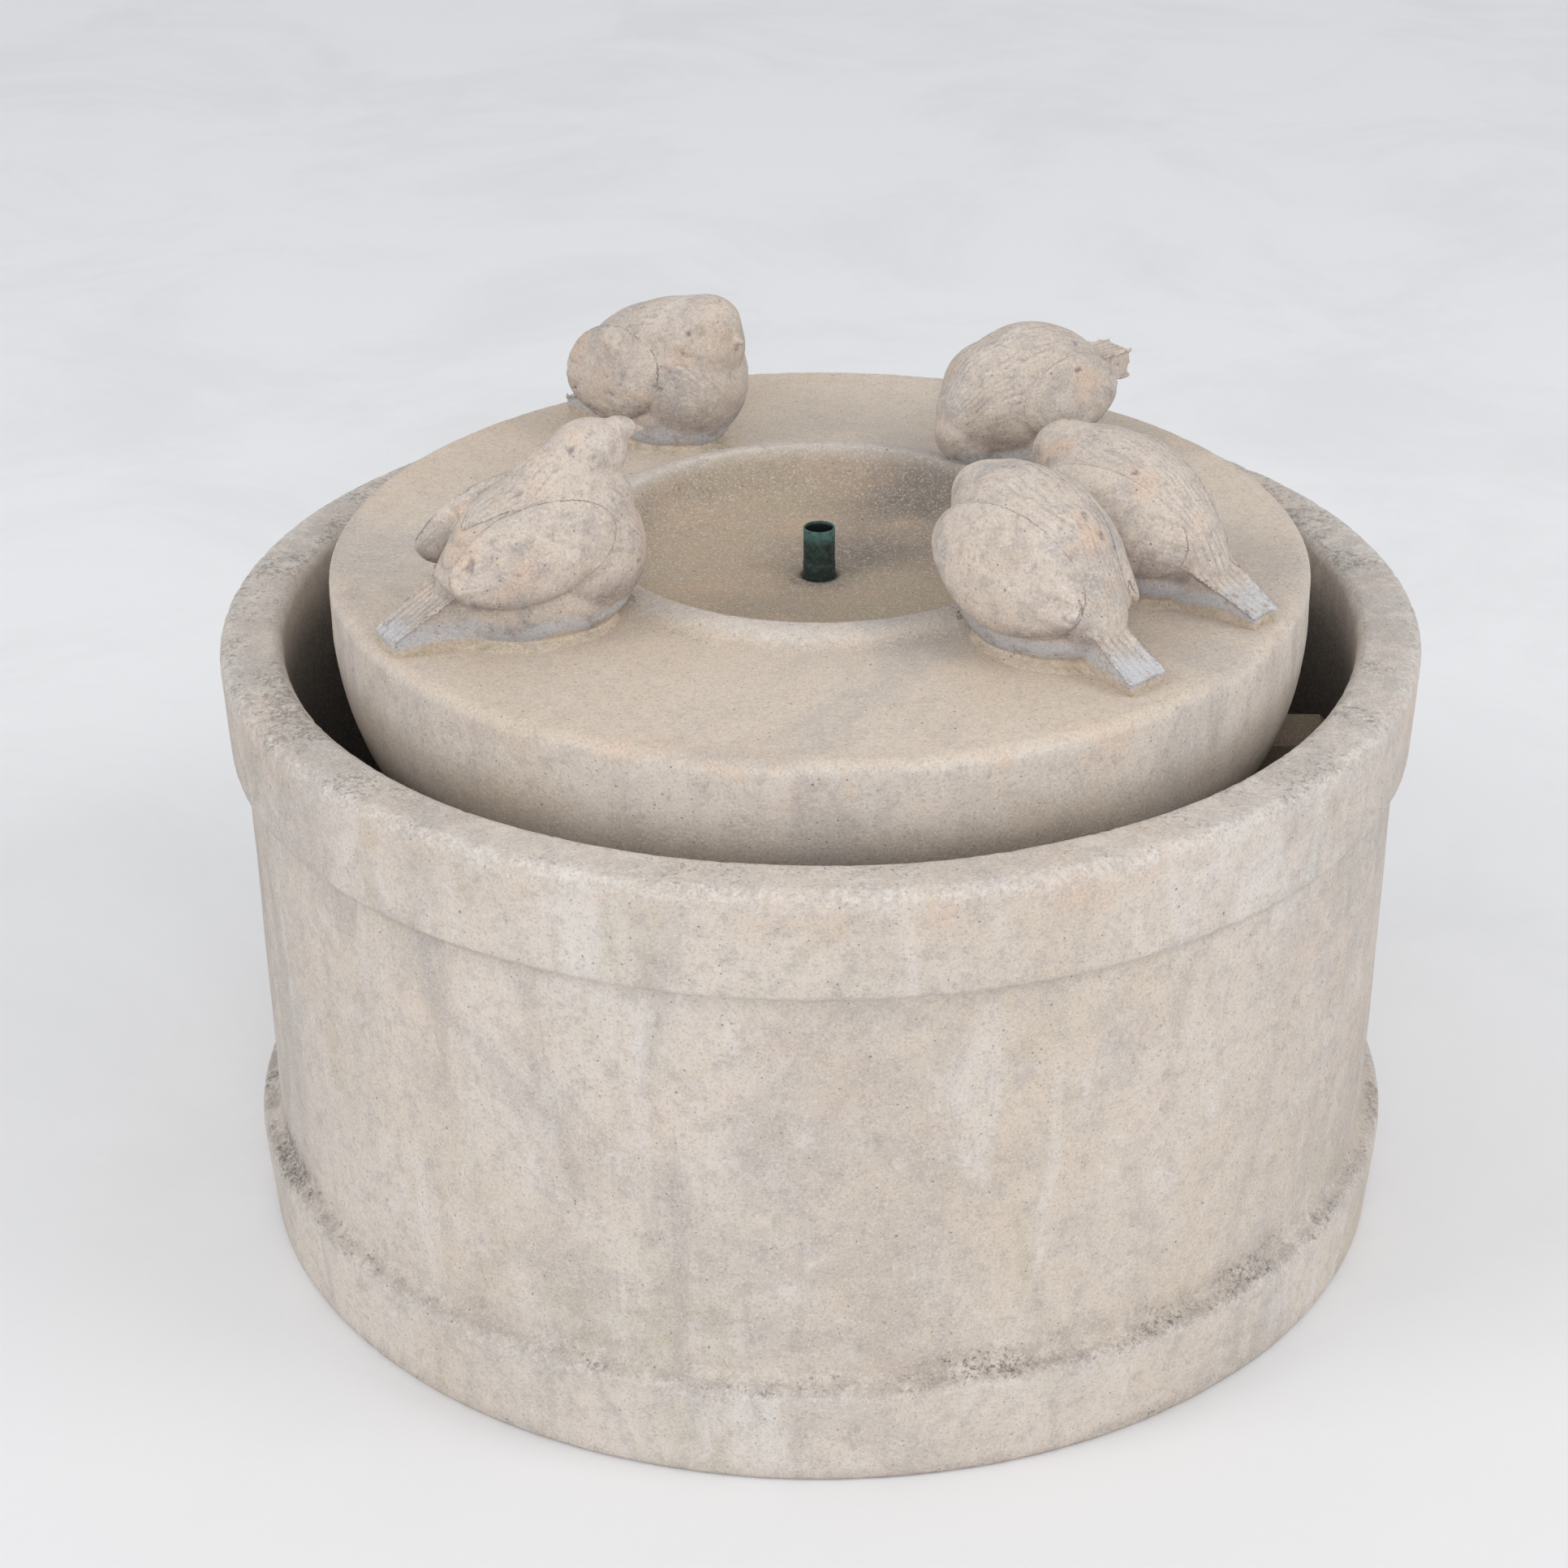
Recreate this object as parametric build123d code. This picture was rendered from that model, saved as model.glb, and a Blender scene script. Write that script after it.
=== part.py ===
from build123d import *
import math
import os

# Tiered cast-stone water fountain with a basin, an upper bowl, five birds, a copper riser and a pump.
# Millimetres, +Z up. The origin is on the ground, on the upright axis of the basin.
# +X is to the right of the front view, and +Y points to the back.

# ---------------------------------------------------------------- driving dimensions
over = 1.0               # how far a cut runs past the face that it opens

# Basin
rim_r = 410.0            # outer radius of the rim band
rim_top = 437.0          # height of the rim above the ground
rim_width = 43.0         # rim's flat width, from inside edge to outside edge
rim_band_h = 75.0        # height of the projecting rim band
rim_round = 9.0          # worn corner of the rim
band_step_top = 12.0     # how far the rim band stands out from the wall
wall_draft = 4.0         # the wall is this much smaller in radius at its foot
foot_h = 72.0            # height of the foot band
foot_step = 14.0         # how far the foot band stands out from the wall
foot_draft = 6.0         # the foot band is this much smaller in radius on the ground
foot_round = 7.0         # worn corner of the foot band
foot_slope_h = 5.0       # height of the slope from the foot band up to the wall
ground_round = 4.0       # worn corner on the ground
basin_floor = 62.0       # thickness of the basin's floor
wall_thick = 36.0        # thickness of the basin's wall near its floor
floor_round = 34.0       # inside corner between floor and wall
drain_r = 16.0           # radius of the drain hole
drain_from_axis = 255.0  # distance of the drain hole from the axis
drain_az = 90.0          # the drain hole is at the back
channel_w = 30.0         # width of the channel under the floor, from the drain to the back
channel_h = 18.0         # depth of that channel

# Upper bowl
bowl_gap = 34.0          # gap between the bowl and the rim
bowl_top = 483.0         # height of the bowl's flat top
bowl_edge_round = 9.0    # worn upper corner of the bowl
bowl_side_h = 65.0       # straight upright side of the bowl
bowl_belly_in = 15.0     # how far in the rounded belly turns before the base
bowl_base_in = 32.0      # the base is this much smaller in radius than the side
bowl_belly_h = 22.0      # height of the belly's lower corner above the base
recess_draft = 16.0      # the hollow is this much smaller in radius at its top
recess_round = 20.0
bowl_thick = 132.0       # height of the bowl from base to flat top
recess_r = 240.0         # radius of the hollow under the bowl
slab_thick = 54.0        # stone left between the dish and the hollow under it
dish_r = 149.0           # inside radius of the rolled lip
lip_w = 25.0             # width of the rolled lip
lip_h = 11.0             # how high the lip stands above the flat top
dish_depth = 24.0        # depth of the dish's floor below the flat top
hole_gap = 1.6           # gap between the riser and the bowl's hole

# Support piers and pads
pier_count = 3
pier_az = -2.0           # direction of the first pier
pier_w = 46.0            # width of a pier across its radius
pier_len = 100.0         # length of a pier along its radius
pier_wall_gap = 4.0      # gap between a pier and the basin's wall
pier_chamfer = 4.0
pad_thick = 3.0
pad_w = 34.0
pad_len = 38.0
pad_from_edge = 4.0      # gap between a pad and the edge of the bowl's base

# Riser and hose
riser_r = 11.1           # outside radius of the copper tube
riser_wall = 1.14
riser_top = 495.0
riser_end_len = 26.0     # turned-down end of the riser, for a nozzle
riser_end_in = 0.35      # the turned-down end is this much smaller in radius
hose_wall = 3.2
hose_len = 78.0
hose_on_riser = 46.0     # length of the riser inside the hose
hose_on_barb = 22.0      # length of the barb inside the hose
clamp_w = 9.0
clamp_wall = 0.9
clamp_screw_r = 2.6
clamp_screw_len = 18.0
clamp_lug_len = 9.0      # how far the clamp's lug stands out from the hose
clamp_lug_w = 14.0
clamp_screw_out = 4.6    # distance of the clamp's screw from the hose
clamp_from_end = 5.0     # gap between a clamp and the end of the hose

# Bush in the bowl's hole
bush_r = 19.0
bush_flange_r = 27.0
bush_flange_h = 4.0
bush_h = 25.0
running_gap = 0.05       # radial gap of a sliding or turning fit
free_gap = 0.5           # gap between pieces that only pass each other

# Drain stopper
stopper_flange_r = 24.0
stopper_flange_h = 7.0
stopper_ring_r = 8.0
stopper_ring_wire = 2.0
stopper_seat_h = 10.0    # length of the stopper that fits the drain hole
stopper_taper = 2.0

# Birds: sizes that all five share
head_r = 22.0
neck_r = 27.0
beak_len = 14.0
beak_r = 7.0
tail_w = 40.0
tail_thick = 14.0
bed_h = 9.0              # thin stone bed under each bird
bed_width_share = 0.86   # half width of the bed, as a share of the body's girth
bed_len_share = 0.40     # half length of the bed, as a share of the body's length
belly_share = 0.72       # the belly meets the bed in an ellipse this share of the bed's size
pin_r = 3.0
pin_len = 44.0
pin_in_bowl = 20.0

# Where each bird stands and how it holds itself. az is the direction of the tail's tip from
# the axis, inset the gap between that tip and the bowl's edge, heading the way it faces, body
# and tail its lengths, girth the greatest radius of its body, pitch the body's tilt, lift the
# height of its middle, drop the fall of the tail, head the head's place ahead of and above the
# middle, beak the beak's tilt.
BIRDS = {
    "bird_front_left": dict(az=212.0, inset=6.0, heading=24.0, body=150.0, tail=62.0, girth=50.0,
                            pitch=30.0, lift=56.0, drop=32.0, head=(42.0, 54.0), beak=12.0),
    "bird_back_left": dict(az=125.3, inset=31.6, heading=-35.0, body=132.0, tail=20.0, girth=44.0,
                           pitch=14.0, lift=50.0, drop=4.0, head=(40.0, 40.0), beak=-8.0),
    "bird_back_right": dict(az=44.0, inset=38.0, heading=216.0, body=116.0, tail=31.0, girth=43.0,
                            pitch=-14.0, lift=48.0, drop=-14.0, head=(54.0, -4.0), beak=-62.0),
    "bird_right": dict(az=-25.0, inset=24.0, heading=136.0, body=150.0, tail=52.0, girth=48.0,
                       pitch=26.0, lift=41.0, drop=24.0, head=(54.0, 24.0), beak=-18.0),
    "bird_front_right": dict(az=-48.0, inset=26.0, heading=131.0, body=144.0, tail=64.0,
                             girth=50.0, pitch=38.0, lift=51.0, drop=32.0, head=(42.0, 32.0),
                             beak=-14.0),
}

# Pump. Its axis lies along X, and its outlet stands on the fountain's axis.
cup_h = 12.0             # height of a suction cup
cup_r = 12.0
cup_inset = 14.0         # distance of a cup's middle from the corner of the case
case_len = 96.0
case_w = 72.0
case_h = 78.0
case_wall = 2.6
case_round = 7.0
rotor_r = 12.5           # radius of the magnet
rotor_len = 44.0
rotor_gap = 1.0          # water gap round the magnet
well_wall = 1.6          # wall of the rotor's well
rotor_above_base = 46.0  # height of the pump's axis above the bottom of the case
shaft_r = 1.5
bush_len = 5.0
shaft_bush_r = 5.0
volute_r = 23.0
volute_depth = 20.0
impeller_r = 19.0
impeller_h = 9.0
impeller_blades = 6
cover_thick = 5.0
seal_wire = 1.2
cover_screw_r = 1.6
cover_screw_head_r = 3.0
outlet_r = 9.0
outlet_wall = 2.4
barb_collar_r = 14.0
barb_collar_h = 12.0
barb_bore_r = 7.0
barb_tooth_h = 6.0       # height of the barb's wide end
barb_tooth_in = 1.4      # the barb is this much smaller in radius below that
barb_on_outlet = 8.0     # length of the pump's outlet inside the barb
barb_clear = 2.0         # gap between the hose's end and the barb's collar
outlet_h = 12.0          # height of the pump's outlet above the case
dial_r = 16.0
dial_thick = 3.0
dial_knob_r = 4.5
dial_knob_out = 5.0      # how far the knob stands out of the cage
dial_slot_w = 1.6        # screwdriver slot in the knob
cage_len = 34.0
cage_wall = 2.4
cage_slot_w = 3.0
cage_slots = 7
gland_r = 6.5
gland_len = 14.0
cord_r = 3.2             # radius of the hole for the cord in its gland
coil_wall = 5.0
volute_back_wall = 3.0
magnet_set_back = 6.5    # distance of the magnet from the space for the resin
core_end_in = 4.0        # the core is this much shorter than the magnet at each end
core_half_w = 28.0
core_above_axis = 24.0
core_above_base = 10.0
yoke_h = 10.0
pole_gap = 4.0
core_well_gap = 2.0      # iron between the window and the rotor's well
window_half_w = 16.0
coil_gap = 0.5
dial_hole_r = 5.0
dial_hole_out = 9.5      # distance of the dial's holes from its axis
hub_pin_r = 2.5
hub_pin_len = 2.0        # how far the hub pin stands out of the cover
boss_r = 6.0
boss_len = 4.0
front_bush_r = 4.0
resin_set_back = 3.0
cage_gap = 0.3
cup_stud_r = 3.0
cover_screw_len = 9.0

# ---------------------------------------------------------------- derived sizes
wall_top_r = rim_r - band_step_top
wall_foot_r = wall_top_r - wall_draft
foot_top_r = wall_foot_r + foot_step
rim_in_r = rim_r - rim_width
well_r = wall_foot_r - wall_thick
bowl_r = rim_in_r - bowl_gap
bowl_base = bowl_top - bowl_thick
dish_floor = bowl_top - dish_depth
recess_top = dish_floor - slab_thick
bowl_hole_r = riser_r + hole_gap
pier_top = bowl_base - pad_thick
pier_out_r = well_r - pier_wall_gap
pad_mid_r = bowl_r - bowl_base_in - pad_from_edge - pad_len / 2

case_base = basin_floor + cup_h
axis_z = case_base + rotor_above_base
case_top = case_base + case_h
front_x = volute_depth / 2
back_x = front_x - case_len
outlet_top = case_top + outlet_h
barb_bottom = outlet_top - barb_on_outlet
barb_collar_top = barb_bottom + barb_collar_h
barb_top = barb_collar_top + barb_clear + hose_on_barb
hose_bottom = barb_top - hose_on_barb
hose_top = hose_bottom + hose_len
riser_bottom = hose_top - hose_on_riser
hose_r = riser_r + hose_wall
clamp_low = hose_bottom + clamp_from_end
clamp_high = hose_top - clamp_from_end - clamp_w

# Pump, along X
wall_x = -volute_depth / 2 - volute_back_wall  # front face of the space for the resin
well_r_in = rotor_r + rotor_gap
well_r_out = well_r_in + well_wall
magnet_front = wall_x - magnet_set_back
magnet_back = magnet_front - rotor_len
bush_front = magnet_back - 1.0
bush_back = bush_front - bush_len
cover_front = front_x + cover_thick
cage_front = cover_front + cage_len
core_x = (magnet_back + core_end_in, magnet_front - core_end_in)
yoke_z = (case_base + core_above_base, case_base + core_above_base + yoke_h)
window_top = axis_z - well_r_out - core_well_gap


# ---------------------------------------------------------------- helpers
def outline(*corners):
    """Closed face in the XZ plane from (radius or x, height, corner rounding) triples."""
    points = [(x, z) for x, z, _ in corners]
    rounds = [r for _, _, r in corners]
    return make_face(Plane.XZ * FilletPolyline(*points, radius=rounds, close=True))


def turned(*corners):
    return revolve(outline(*corners), axis=Axis.Z)


def rod(radius, low, high, x=0.0, y=0.0):
    """Upright round bar between two heights."""
    return Pos(x, y, (low + high) / 2) * Cylinder(radius, high - low)


def rod_x(radius, low, high, y=0.0, z=0.0):
    """Round bar along X."""
    return Pos((low + high) / 2, y, z) * Rot(0, 90, 0) * Cylinder(radius, high - low)


def block(x, y, z):
    """Block between two places on each axis, given as (low, high) pairs."""
    middle = [(low + high) / 2 for low, high in (x, y, z)]
    size = [high - low for low, high in (x, y, z)]
    return Pos(*middle) * Box(*size)


def hex_prism(radius, height):
    """Hexagonal bar along Z, centred on the origin."""
    return Pos(0, 0, -height / 2) * extrude(RegularPolygon(radius, 6), height)


def polar(radius, azimuth):
    angle = math.radians(azimuth)
    return radius * math.cos(angle), radius * math.sin(angle)


def whole(shape):
    """The shape with its stray slivers left out."""
    return max(shape.solids(), key=lambda solid: solid.volume)


# ---------------------------------------------------------------- stone pieces
def basin():
    body = turned(
        (0, 0, 0),
        (foot_top_r - foot_draft, 0, ground_round),
        (foot_top_r, foot_h, foot_round),
        (wall_foot_r, foot_h + foot_slope_h, 5.0),
        (wall_top_r, rim_top - rim_band_h, 2.0),
        (rim_r - 2.0, rim_top - rim_band_h, 5.0),
        (rim_r, rim_top, rim_round),
        (rim_in_r, rim_top, rim_round),
        (well_r, basin_floor, floor_round),
        (0, basin_floor, 0),
    )
    x, y = polar(drain_from_axis, drain_az)
    drain = rod(drain_r, -over, basin_floor + over, x, y)
    channel = block((0, rim_r), (-channel_w / 2, channel_w / 2), (-over, channel_h))
    channel = Rot(0, 0, drain_az) * Pos(drain_from_axis, 0, 0) * channel
    return body - drain - channel


def bowl_top_line():
    """The dish, the lip and the flat top, from the hole out to the flat."""
    lip_mid = dish_r + lip_w / 2
    lip_top = bowl_top + lip_h
    dish = Spline(
        (0, dish_floor), (dish_r * 0.5, dish_floor + 1.5), (dish_r * 0.86, dish_floor + 9.0),
        (dish_r + 1.0, bowl_top + lip_h * 0.3),
        tangents=[(1, 0), (0.55, 1)],
    )
    lip = Spline(
        (dish_r + 1.0, bowl_top + lip_h * 0.3), (lip_mid, lip_top), (dish_r + lip_w, bowl_top),
        tangents=[(0.55, 1), (1, -0.5)],
    )
    return [dish, lip]


def bowl_blank(edge_r, corner, lower):
    """Solid of the bowl's top surface out to edge_r, closed by the points in lower."""
    top = bowl_top_line()
    rest = FilletPolyline(
        (dish_r + lip_w, bowl_top), (edge_r, bowl_top), *[(x, z) for x, z, _ in lower],
        radius=[corner] + [r for _, _, r in lower[:-1]],
    )
    back = Line(rest @ 1, (0, dish_floor))
    face = make_face(Plane.XZ * Curve(children=[*top, rest, back]))
    return revolve(face, axis=Axis.Z)


def upper_bowl():
    base_r = bowl_r - bowl_base_in
    body = bowl_blank(bowl_r, bowl_edge_round, [
        (bowl_r, bowl_top - bowl_side_h, 30.0),
        (bowl_r - bowl_belly_in, bowl_base + bowl_belly_h, 14.0),
        (base_r, bowl_base, 3.0),
        (0, bowl_base, 0),
    ])
    hollow = turned(
        (0, bowl_base - over, 0),
        (recess_r, bowl_base - over, 0),
        (recess_r - recess_draft, recess_top, recess_round),
        (0, recess_top, 0),
    )
    hole = rod(bowl_hole_r, recess_top - over, bowl_top)
    seat = rod(bush_r, recess_top - over, recess_top + bush_h)
    body = body - hollow - hole - seat
    for place in BIRDS.values():
        x, y = bird_middle(place)
        body = body - rod(pin_r, bowl_top - pin_in_bowl, bowl_top + lip_h + over, x, y)
    return body


def support_pier(azimuth):
    pier = block((pier_out_r - pier_len, pier_out_r), (-pier_w / 2, pier_w / 2),
                 (basin_floor, pier_top))
    pier = chamfer(pier.edges().filter_by(Axis.Z) + pier.edges().group_by(Axis.Z)[-1],
                   pier_chamfer)
    inside = rod(well_r - pier_wall_gap, basin_floor, pier_top)
    foot_cut = turned(
        (well_r - floor_round - pier_wall_gap, basin_floor - over, 0),
        (well_r + over, basin_floor - over, 0),
        (well_r + over, basin_floor + floor_round + pier_wall_gap, 0),
        (well_r - pier_wall_gap, basin_floor + floor_round + pier_wall_gap, 0),
    )
    return Rot(0, 0, azimuth) * (pier & inside - foot_cut)


def bearing_pad(azimuth):
    pad = Pos(pad_mid_r, 0, pier_top + pad_thick / 2) * Box(pad_len, pad_w, pad_thick)
    return Rot(0, 0, azimuth) * pad


# ---------------------------------------------------------------- birds
def rump_of(place):
    """Where the tail leaves the body: distance behind the middle, and height."""
    turn = math.radians(place["pitch"])
    back = place["body"] * 0.40
    return back * math.cos(turn), place["lift"] - back * math.sin(turn)


def tail_of(place):
    """Length of the tail along the ground, and height of its tip."""
    drop = math.radians(place["drop"])
    tip_z = rump_of(place)[1] - place["tail"] * math.sin(drop)
    return place["tail"] * math.cos(drop), max(tip_z, tail_thick * 0.3)


def bird_middle(place):
    tip_x, tip_y = polar(bowl_r - place["inset"], place["az"])
    ahead_x, ahead_y = polar(rump_of(place)[0] + tail_of(place)[0], place["heading"])
    return tip_x + ahead_x, tip_y + ahead_y


def bird_body(length, girth):
    """Egg shape along +X, blunt at the breast."""
    half = length / 2
    back = Spline(
        (-half, 0), (-half * 0.55, girth * 0.66), (half * 0.18, girth), (half, 0),
        tangents=[(0.25, 1), (0, -1)],
    )
    face = make_face(Plane.XZ * Curve(children=[back, Line(back @ 1, back @ 0)]))
    return revolve(face, axis=Axis.X)


def bird_tail(place):
    rump_x, rump_z = rump_of(place)
    run, tip_z = tail_of(place)
    root = Plane((12.0 - rump_x, 0, rump_z + 2.0), x_dir=(0, 1, 0), z_dir=(-1, 0, 0))
    tip = Plane((-rump_x - run, 0, tip_z), x_dir=(0, 1, 0), z_dir=(-1, 0, 0))
    return loft([
        root * Rectangle(tail_w, tail_thick * 2.4),
        tip * Rectangle(tail_w * 0.72, tail_thick * 0.6),
    ])


def bird(place):
    """One cast bird: body, neck, head, beak, tail and bed, cut to sit on the bowl."""
    lift = place["lift"]
    head_x, head_z = place["head"]
    body = Pos(0, 0, lift) * Rot(0, -place["pitch"], 0) * bird_body(
        place["body"], place["girth"])
    neck = Pos(head_x * 0.66, 0, lift + head_z * 0.6) * Sphere(neck_r)
    head = Pos(head_x, 0, lift + head_z)
    beak = Pos(head_r + beak_len * 0.3, 0, 0) * Rot(0, 90, 0) * Cone(
        beak_r, beak_r * 0.25, beak_len)
    beak = head * Rot(0, -place["beak"], 0) * beak
    below = bowl_top - dish_floor
    bed_size = (place["body"] * bed_len_share, place["girth"] * bed_width_share)
    bed = Pos(-4.0, 0, -below) * extrude(Ellipse(*bed_size), bed_h + below)
    belly = Pos(-4.0, 0, 0) * extrude(Ellipse(*[size * belly_share for size in bed_size]), lift)
    bed = bed + belly
    shape = body + neck + head * Sphere(head_r) + beak + bird_tail(place) + bed
    x, y = bird_middle(place)
    shape = Pos(x, y, bowl_top) * Rot(0, 0, place["heading"]) * shape
    return whole(shape - bird_seat() - bird_pin(place))


def bird_seat():
    """Everything below the bowl's top surface, for cutting the underside of the birds."""
    far = rim_r * 1.5
    return bowl_blank(far, 0.0, [(far, bowl_base, 0.0), (0, bowl_base, 0.0)])


def bird_pin(place):
    x, y = bird_middle(place)
    low = bowl_top - pin_in_bowl
    return rod(pin_r, low, low + pin_len, x, y)


# ---------------------------------------------------------------- riser, bush and hose
def riser_tube():
    shoulder = riser_top - riser_end_len
    body = rod(riser_r, riser_bottom, shoulder) + rod(riser_r - riser_end_in, shoulder, riser_top)
    return body - rod(riser_r - riser_wall, riser_bottom - over, riser_top + over)


def bowl_bush():
    body = rod(bush_r, recess_top, recess_top + bush_h)
    flange = rod(bush_flange_r, recess_top - bush_flange_h, recess_top)
    bore = rod(riser_r + running_gap, recess_top - bush_flange_h - over,
               recess_top + bush_h + over)
    return body + flange - bore


def supply_hose():
    return rod(hose_r, hose_bottom, hose_top) - rod(riser_r, hose_bottom - over, hose_top + over)


def clamp_band(low):
    band = rod(hose_r + clamp_wall, low, low + clamp_w)
    lug = block((hose_r - over, hose_r + clamp_lug_len), (-clamp_lug_w / 2, clamp_lug_w / 2),
                (low, low + clamp_w))
    lug = fillet(lug.edges().filter_by(Axis.Z), 2.0)
    hole = clamp_screw_place(low) * Cylinder(clamp_screw_r, clamp_lug_w + 2 * over)
    return band + lug - rod(hose_r, low - over, low + clamp_w + over) - hole


def clamp_screw_place(low):
    return Pos(hose_r + clamp_screw_out, 0, low + clamp_w / 2) * Rot(90, 0, 0)


def clamp_screw(low):
    head_h = 4.0
    head_z = clamp_screw_len / 2 + head_h / 2 - 0.5
    shank = Cylinder(clamp_screw_r, clamp_screw_len)
    head = Pos(0, 0, head_z) * hex_prism(clamp_screw_r * 1.6, head_h)
    slot = Pos(0, 0, head_z + head_h / 2) * Box(clamp_screw_r * 2.4, 0.9, 2.0)
    return clamp_screw_place(low) * (shank + head - slot)


def outlet_adapter():
    body = turned(
        (barb_bore_r, barb_bottom, 0),
        (barb_collar_r, barb_bottom, 1.0),
        (barb_collar_r, barb_collar_top, 1.0),
        (riser_r - barb_tooth_in, barb_collar_top, 0),
        (riser_r - barb_tooth_in, barb_top - barb_tooth_h, 0),
        (riser_r, barb_top - barb_tooth_h, 0),
        (riser_r - barb_tooth_in, barb_top, 0),
        (barb_bore_r, barb_top, 0),
    )
    return body - rod(outlet_r, barb_bottom - over, outlet_top)


# ---------------------------------------------------------------- drain stopper
def drain_stopper():
    x, y = polar(drain_from_axis, drain_az)
    plug = turned(
        (0, channel_h + stopper_taper, 0),
        (drain_r - stopper_taper, channel_h + stopper_taper, 2.0),
        (drain_r - running_gap, basin_floor - stopper_seat_h, 0),
        (drain_r - running_gap, basin_floor, 0),
        (stopper_flange_r, basin_floor, 1.5),
        (stopper_flange_r, basin_floor + stopper_flange_h, 2.5),
        (0, basin_floor + stopper_flange_h, 0),
    )
    ring_z = basin_floor + stopper_flange_h + stopper_ring_r - stopper_ring_wire
    ring = Pos(0, 0, ring_z) * Rot(90, 0, 0) * Torus(stopper_ring_r, stopper_ring_wire)
    return Pos(x, y, 0) * (plug + ring)


# ---------------------------------------------------------------- pump
def case_block(low, high, grow=0.0):
    """The pump case's rounded section between two places along X, grown on all four sides."""
    half_w = case_w / 2 + grow
    shape = block((low, high), (-half_w, half_w), (case_base - grow, case_top + grow))
    return fillet(shape.edges().filter_by(Axis.X), case_round + grow)


def cup_places():
    out = []
    for x in (back_x + cup_inset, front_x - cup_inset):
        for y in (-case_w / 2 + cup_inset, case_w / 2 - cup_inset):
            out.append((x, y))
    return out


def screw_places():
    inset = case_round
    low, high = case_base + inset, case_top - inset
    half_w = case_w / 2 - inset
    return [(y, z) for y in (-half_w, half_w) for z in (low, high)]


def resin_space():
    inner_w = case_w / 2 - case_wall
    return block((back_x - over, wall_x), (-inner_w, inner_w),
                 (case_base + case_wall, case_top - case_wall))


def rotor_well():
    return rod_x(well_r_out, bush_back - case_wall, wall_x, z=axis_z)


def well_hollow():
    wide = rod_x(well_r_in, bush_front, 0.0, z=axis_z)
    return wide + rod_x(shaft_bush_r, bush_back, bush_front, z=axis_z)


def seal_ring():
    return Pos(front_x, 0, axis_z) * Rot(0, 90, 0) * Torus(volute_r + 3.0, seal_wire)


def pump_case():
    body = case_block(back_x, front_x) - resin_space() + rotor_well()
    body = body + rod(outlet_r, case_top - case_wall, outlet_top)
    body = body - rod_x(volute_r, -volute_depth / 2, front_x + over, z=axis_z) - well_hollow()
    body = body - rod(outlet_r - outlet_wall, axis_z, outlet_top + over) - seal_ring()
    for x, y in cup_places():
        body = body - rod(cup_stud_r, case_base - over, case_base + case_wall, x, y)
    for y, z in screw_places():
        body = body - rod_x(cover_screw_r, front_x - cover_screw_len, front_x + over, y, z)
    return body


def stator_core():
    core = block(core_x, (-core_half_w, core_half_w), (yoke_z[0], axis_z + core_above_axis))
    core = core - rod_x(well_r_out, *core_x, z=axis_z)
    window = block(core_x, (-window_half_w, window_half_w), (yoke_z[1], window_top))
    return core - window - block(core_x, (-pole_gap / 2, pole_gap / 2), (yoke_z[1], axis_z))


def stator_coil():
    half_w = window_half_w - coil_gap
    outer = block((core_x[0] - coil_wall, core_x[1] + coil_wall), (-half_w, half_w),
                  (yoke_z[0] - coil_wall, yoke_z[1] + coil_wall))
    return outer - block(core_x, (-half_w, half_w), yoke_z)


def cord_gland():
    z = case_top - case_wall - gland_r - 1.0
    low = back_x + resin_set_back - gland_len
    body = rod_x(gland_r, low, back_x + 9.0, z=z)
    nut = Pos(back_x - 3.0, 0, z) * Rot(0, 90, 0) * hex_prism(gland_r * 1.35, 6.0)
    return body + nut - rod_x(cord_r, low - over, back_x + 3.0, z=z)


def potting_resin():
    inner_w = case_w / 2 - case_wall
    fill = block((back_x + resin_set_back, wall_x), (-inner_w, inner_w),
                 (case_base + case_wall, case_top - case_wall))
    return fill - rotor_well() - stator_core() - stator_coil() - cord_gland()


def rotor_magnet():
    bore = rod_x(shaft_r + running_gap, magnet_back, magnet_front, z=axis_z)
    return rod_x(rotor_r, magnet_back, magnet_front, z=axis_z) - bore


def impeller():
    plate_x = 1.5 - volute_depth / 2
    hub_front = front_x - boss_len - free_gap
    body = rod_x(impeller_r, plate_x, plate_x + 1.6, z=axis_z)
    body = body + rod_x(8.0, magnet_front, plate_x + 1.0, z=axis_z)
    body = body + rod_x(5.0, plate_x, hub_front, z=axis_z)
    blade = block((plate_x + 1.0, plate_x + impeller_h), (-0.8, 0.8), (4.0, impeller_r - 0.6))
    for k in range(impeller_blades):
        body = body + Pos(0, 0, axis_z) * Rot(360.0 / impeller_blades * k, 0, 0) * blade
    return body - rod_x(shaft_r + running_gap, magnet_front - over, hub_front + over, z=axis_z)


def rotor_shaft():
    return rod_x(shaft_r, bush_back, front_x, z=axis_z)


def shaft_bush(radius, low, high):
    return rod_x(radius, low, high, z=axis_z) - rod_x(shaft_r, low, high, z=axis_z)


def volute_cover():
    body = case_block(front_x, cover_front)
    pocket_floor = cover_front - dial_thick
    body = body - rod_x(dial_r + free_gap, pocket_floor, cover_front + over, z=axis_z)
    body = body + rod_x(boss_r, front_x - boss_len, front_x, z=axis_z)
    body = body + rod_x(hub_pin_r, pocket_floor, cover_front + hub_pin_len, z=axis_z)
    body = body - rod_x(front_bush_r, front_x - boss_len - over, front_x, z=axis_z) - seal_ring()
    for side in (-1, 1):
        body = body - rod_x(dial_hole_r, front_x - over, pocket_floor + over,
                            z=axis_z + side * dial_hole_out)
    for y, z in screw_places():
        body = body - rod_x(cover_screw_r + 0.2, front_x - over, cover_front + over, y, z)
    return body


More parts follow.
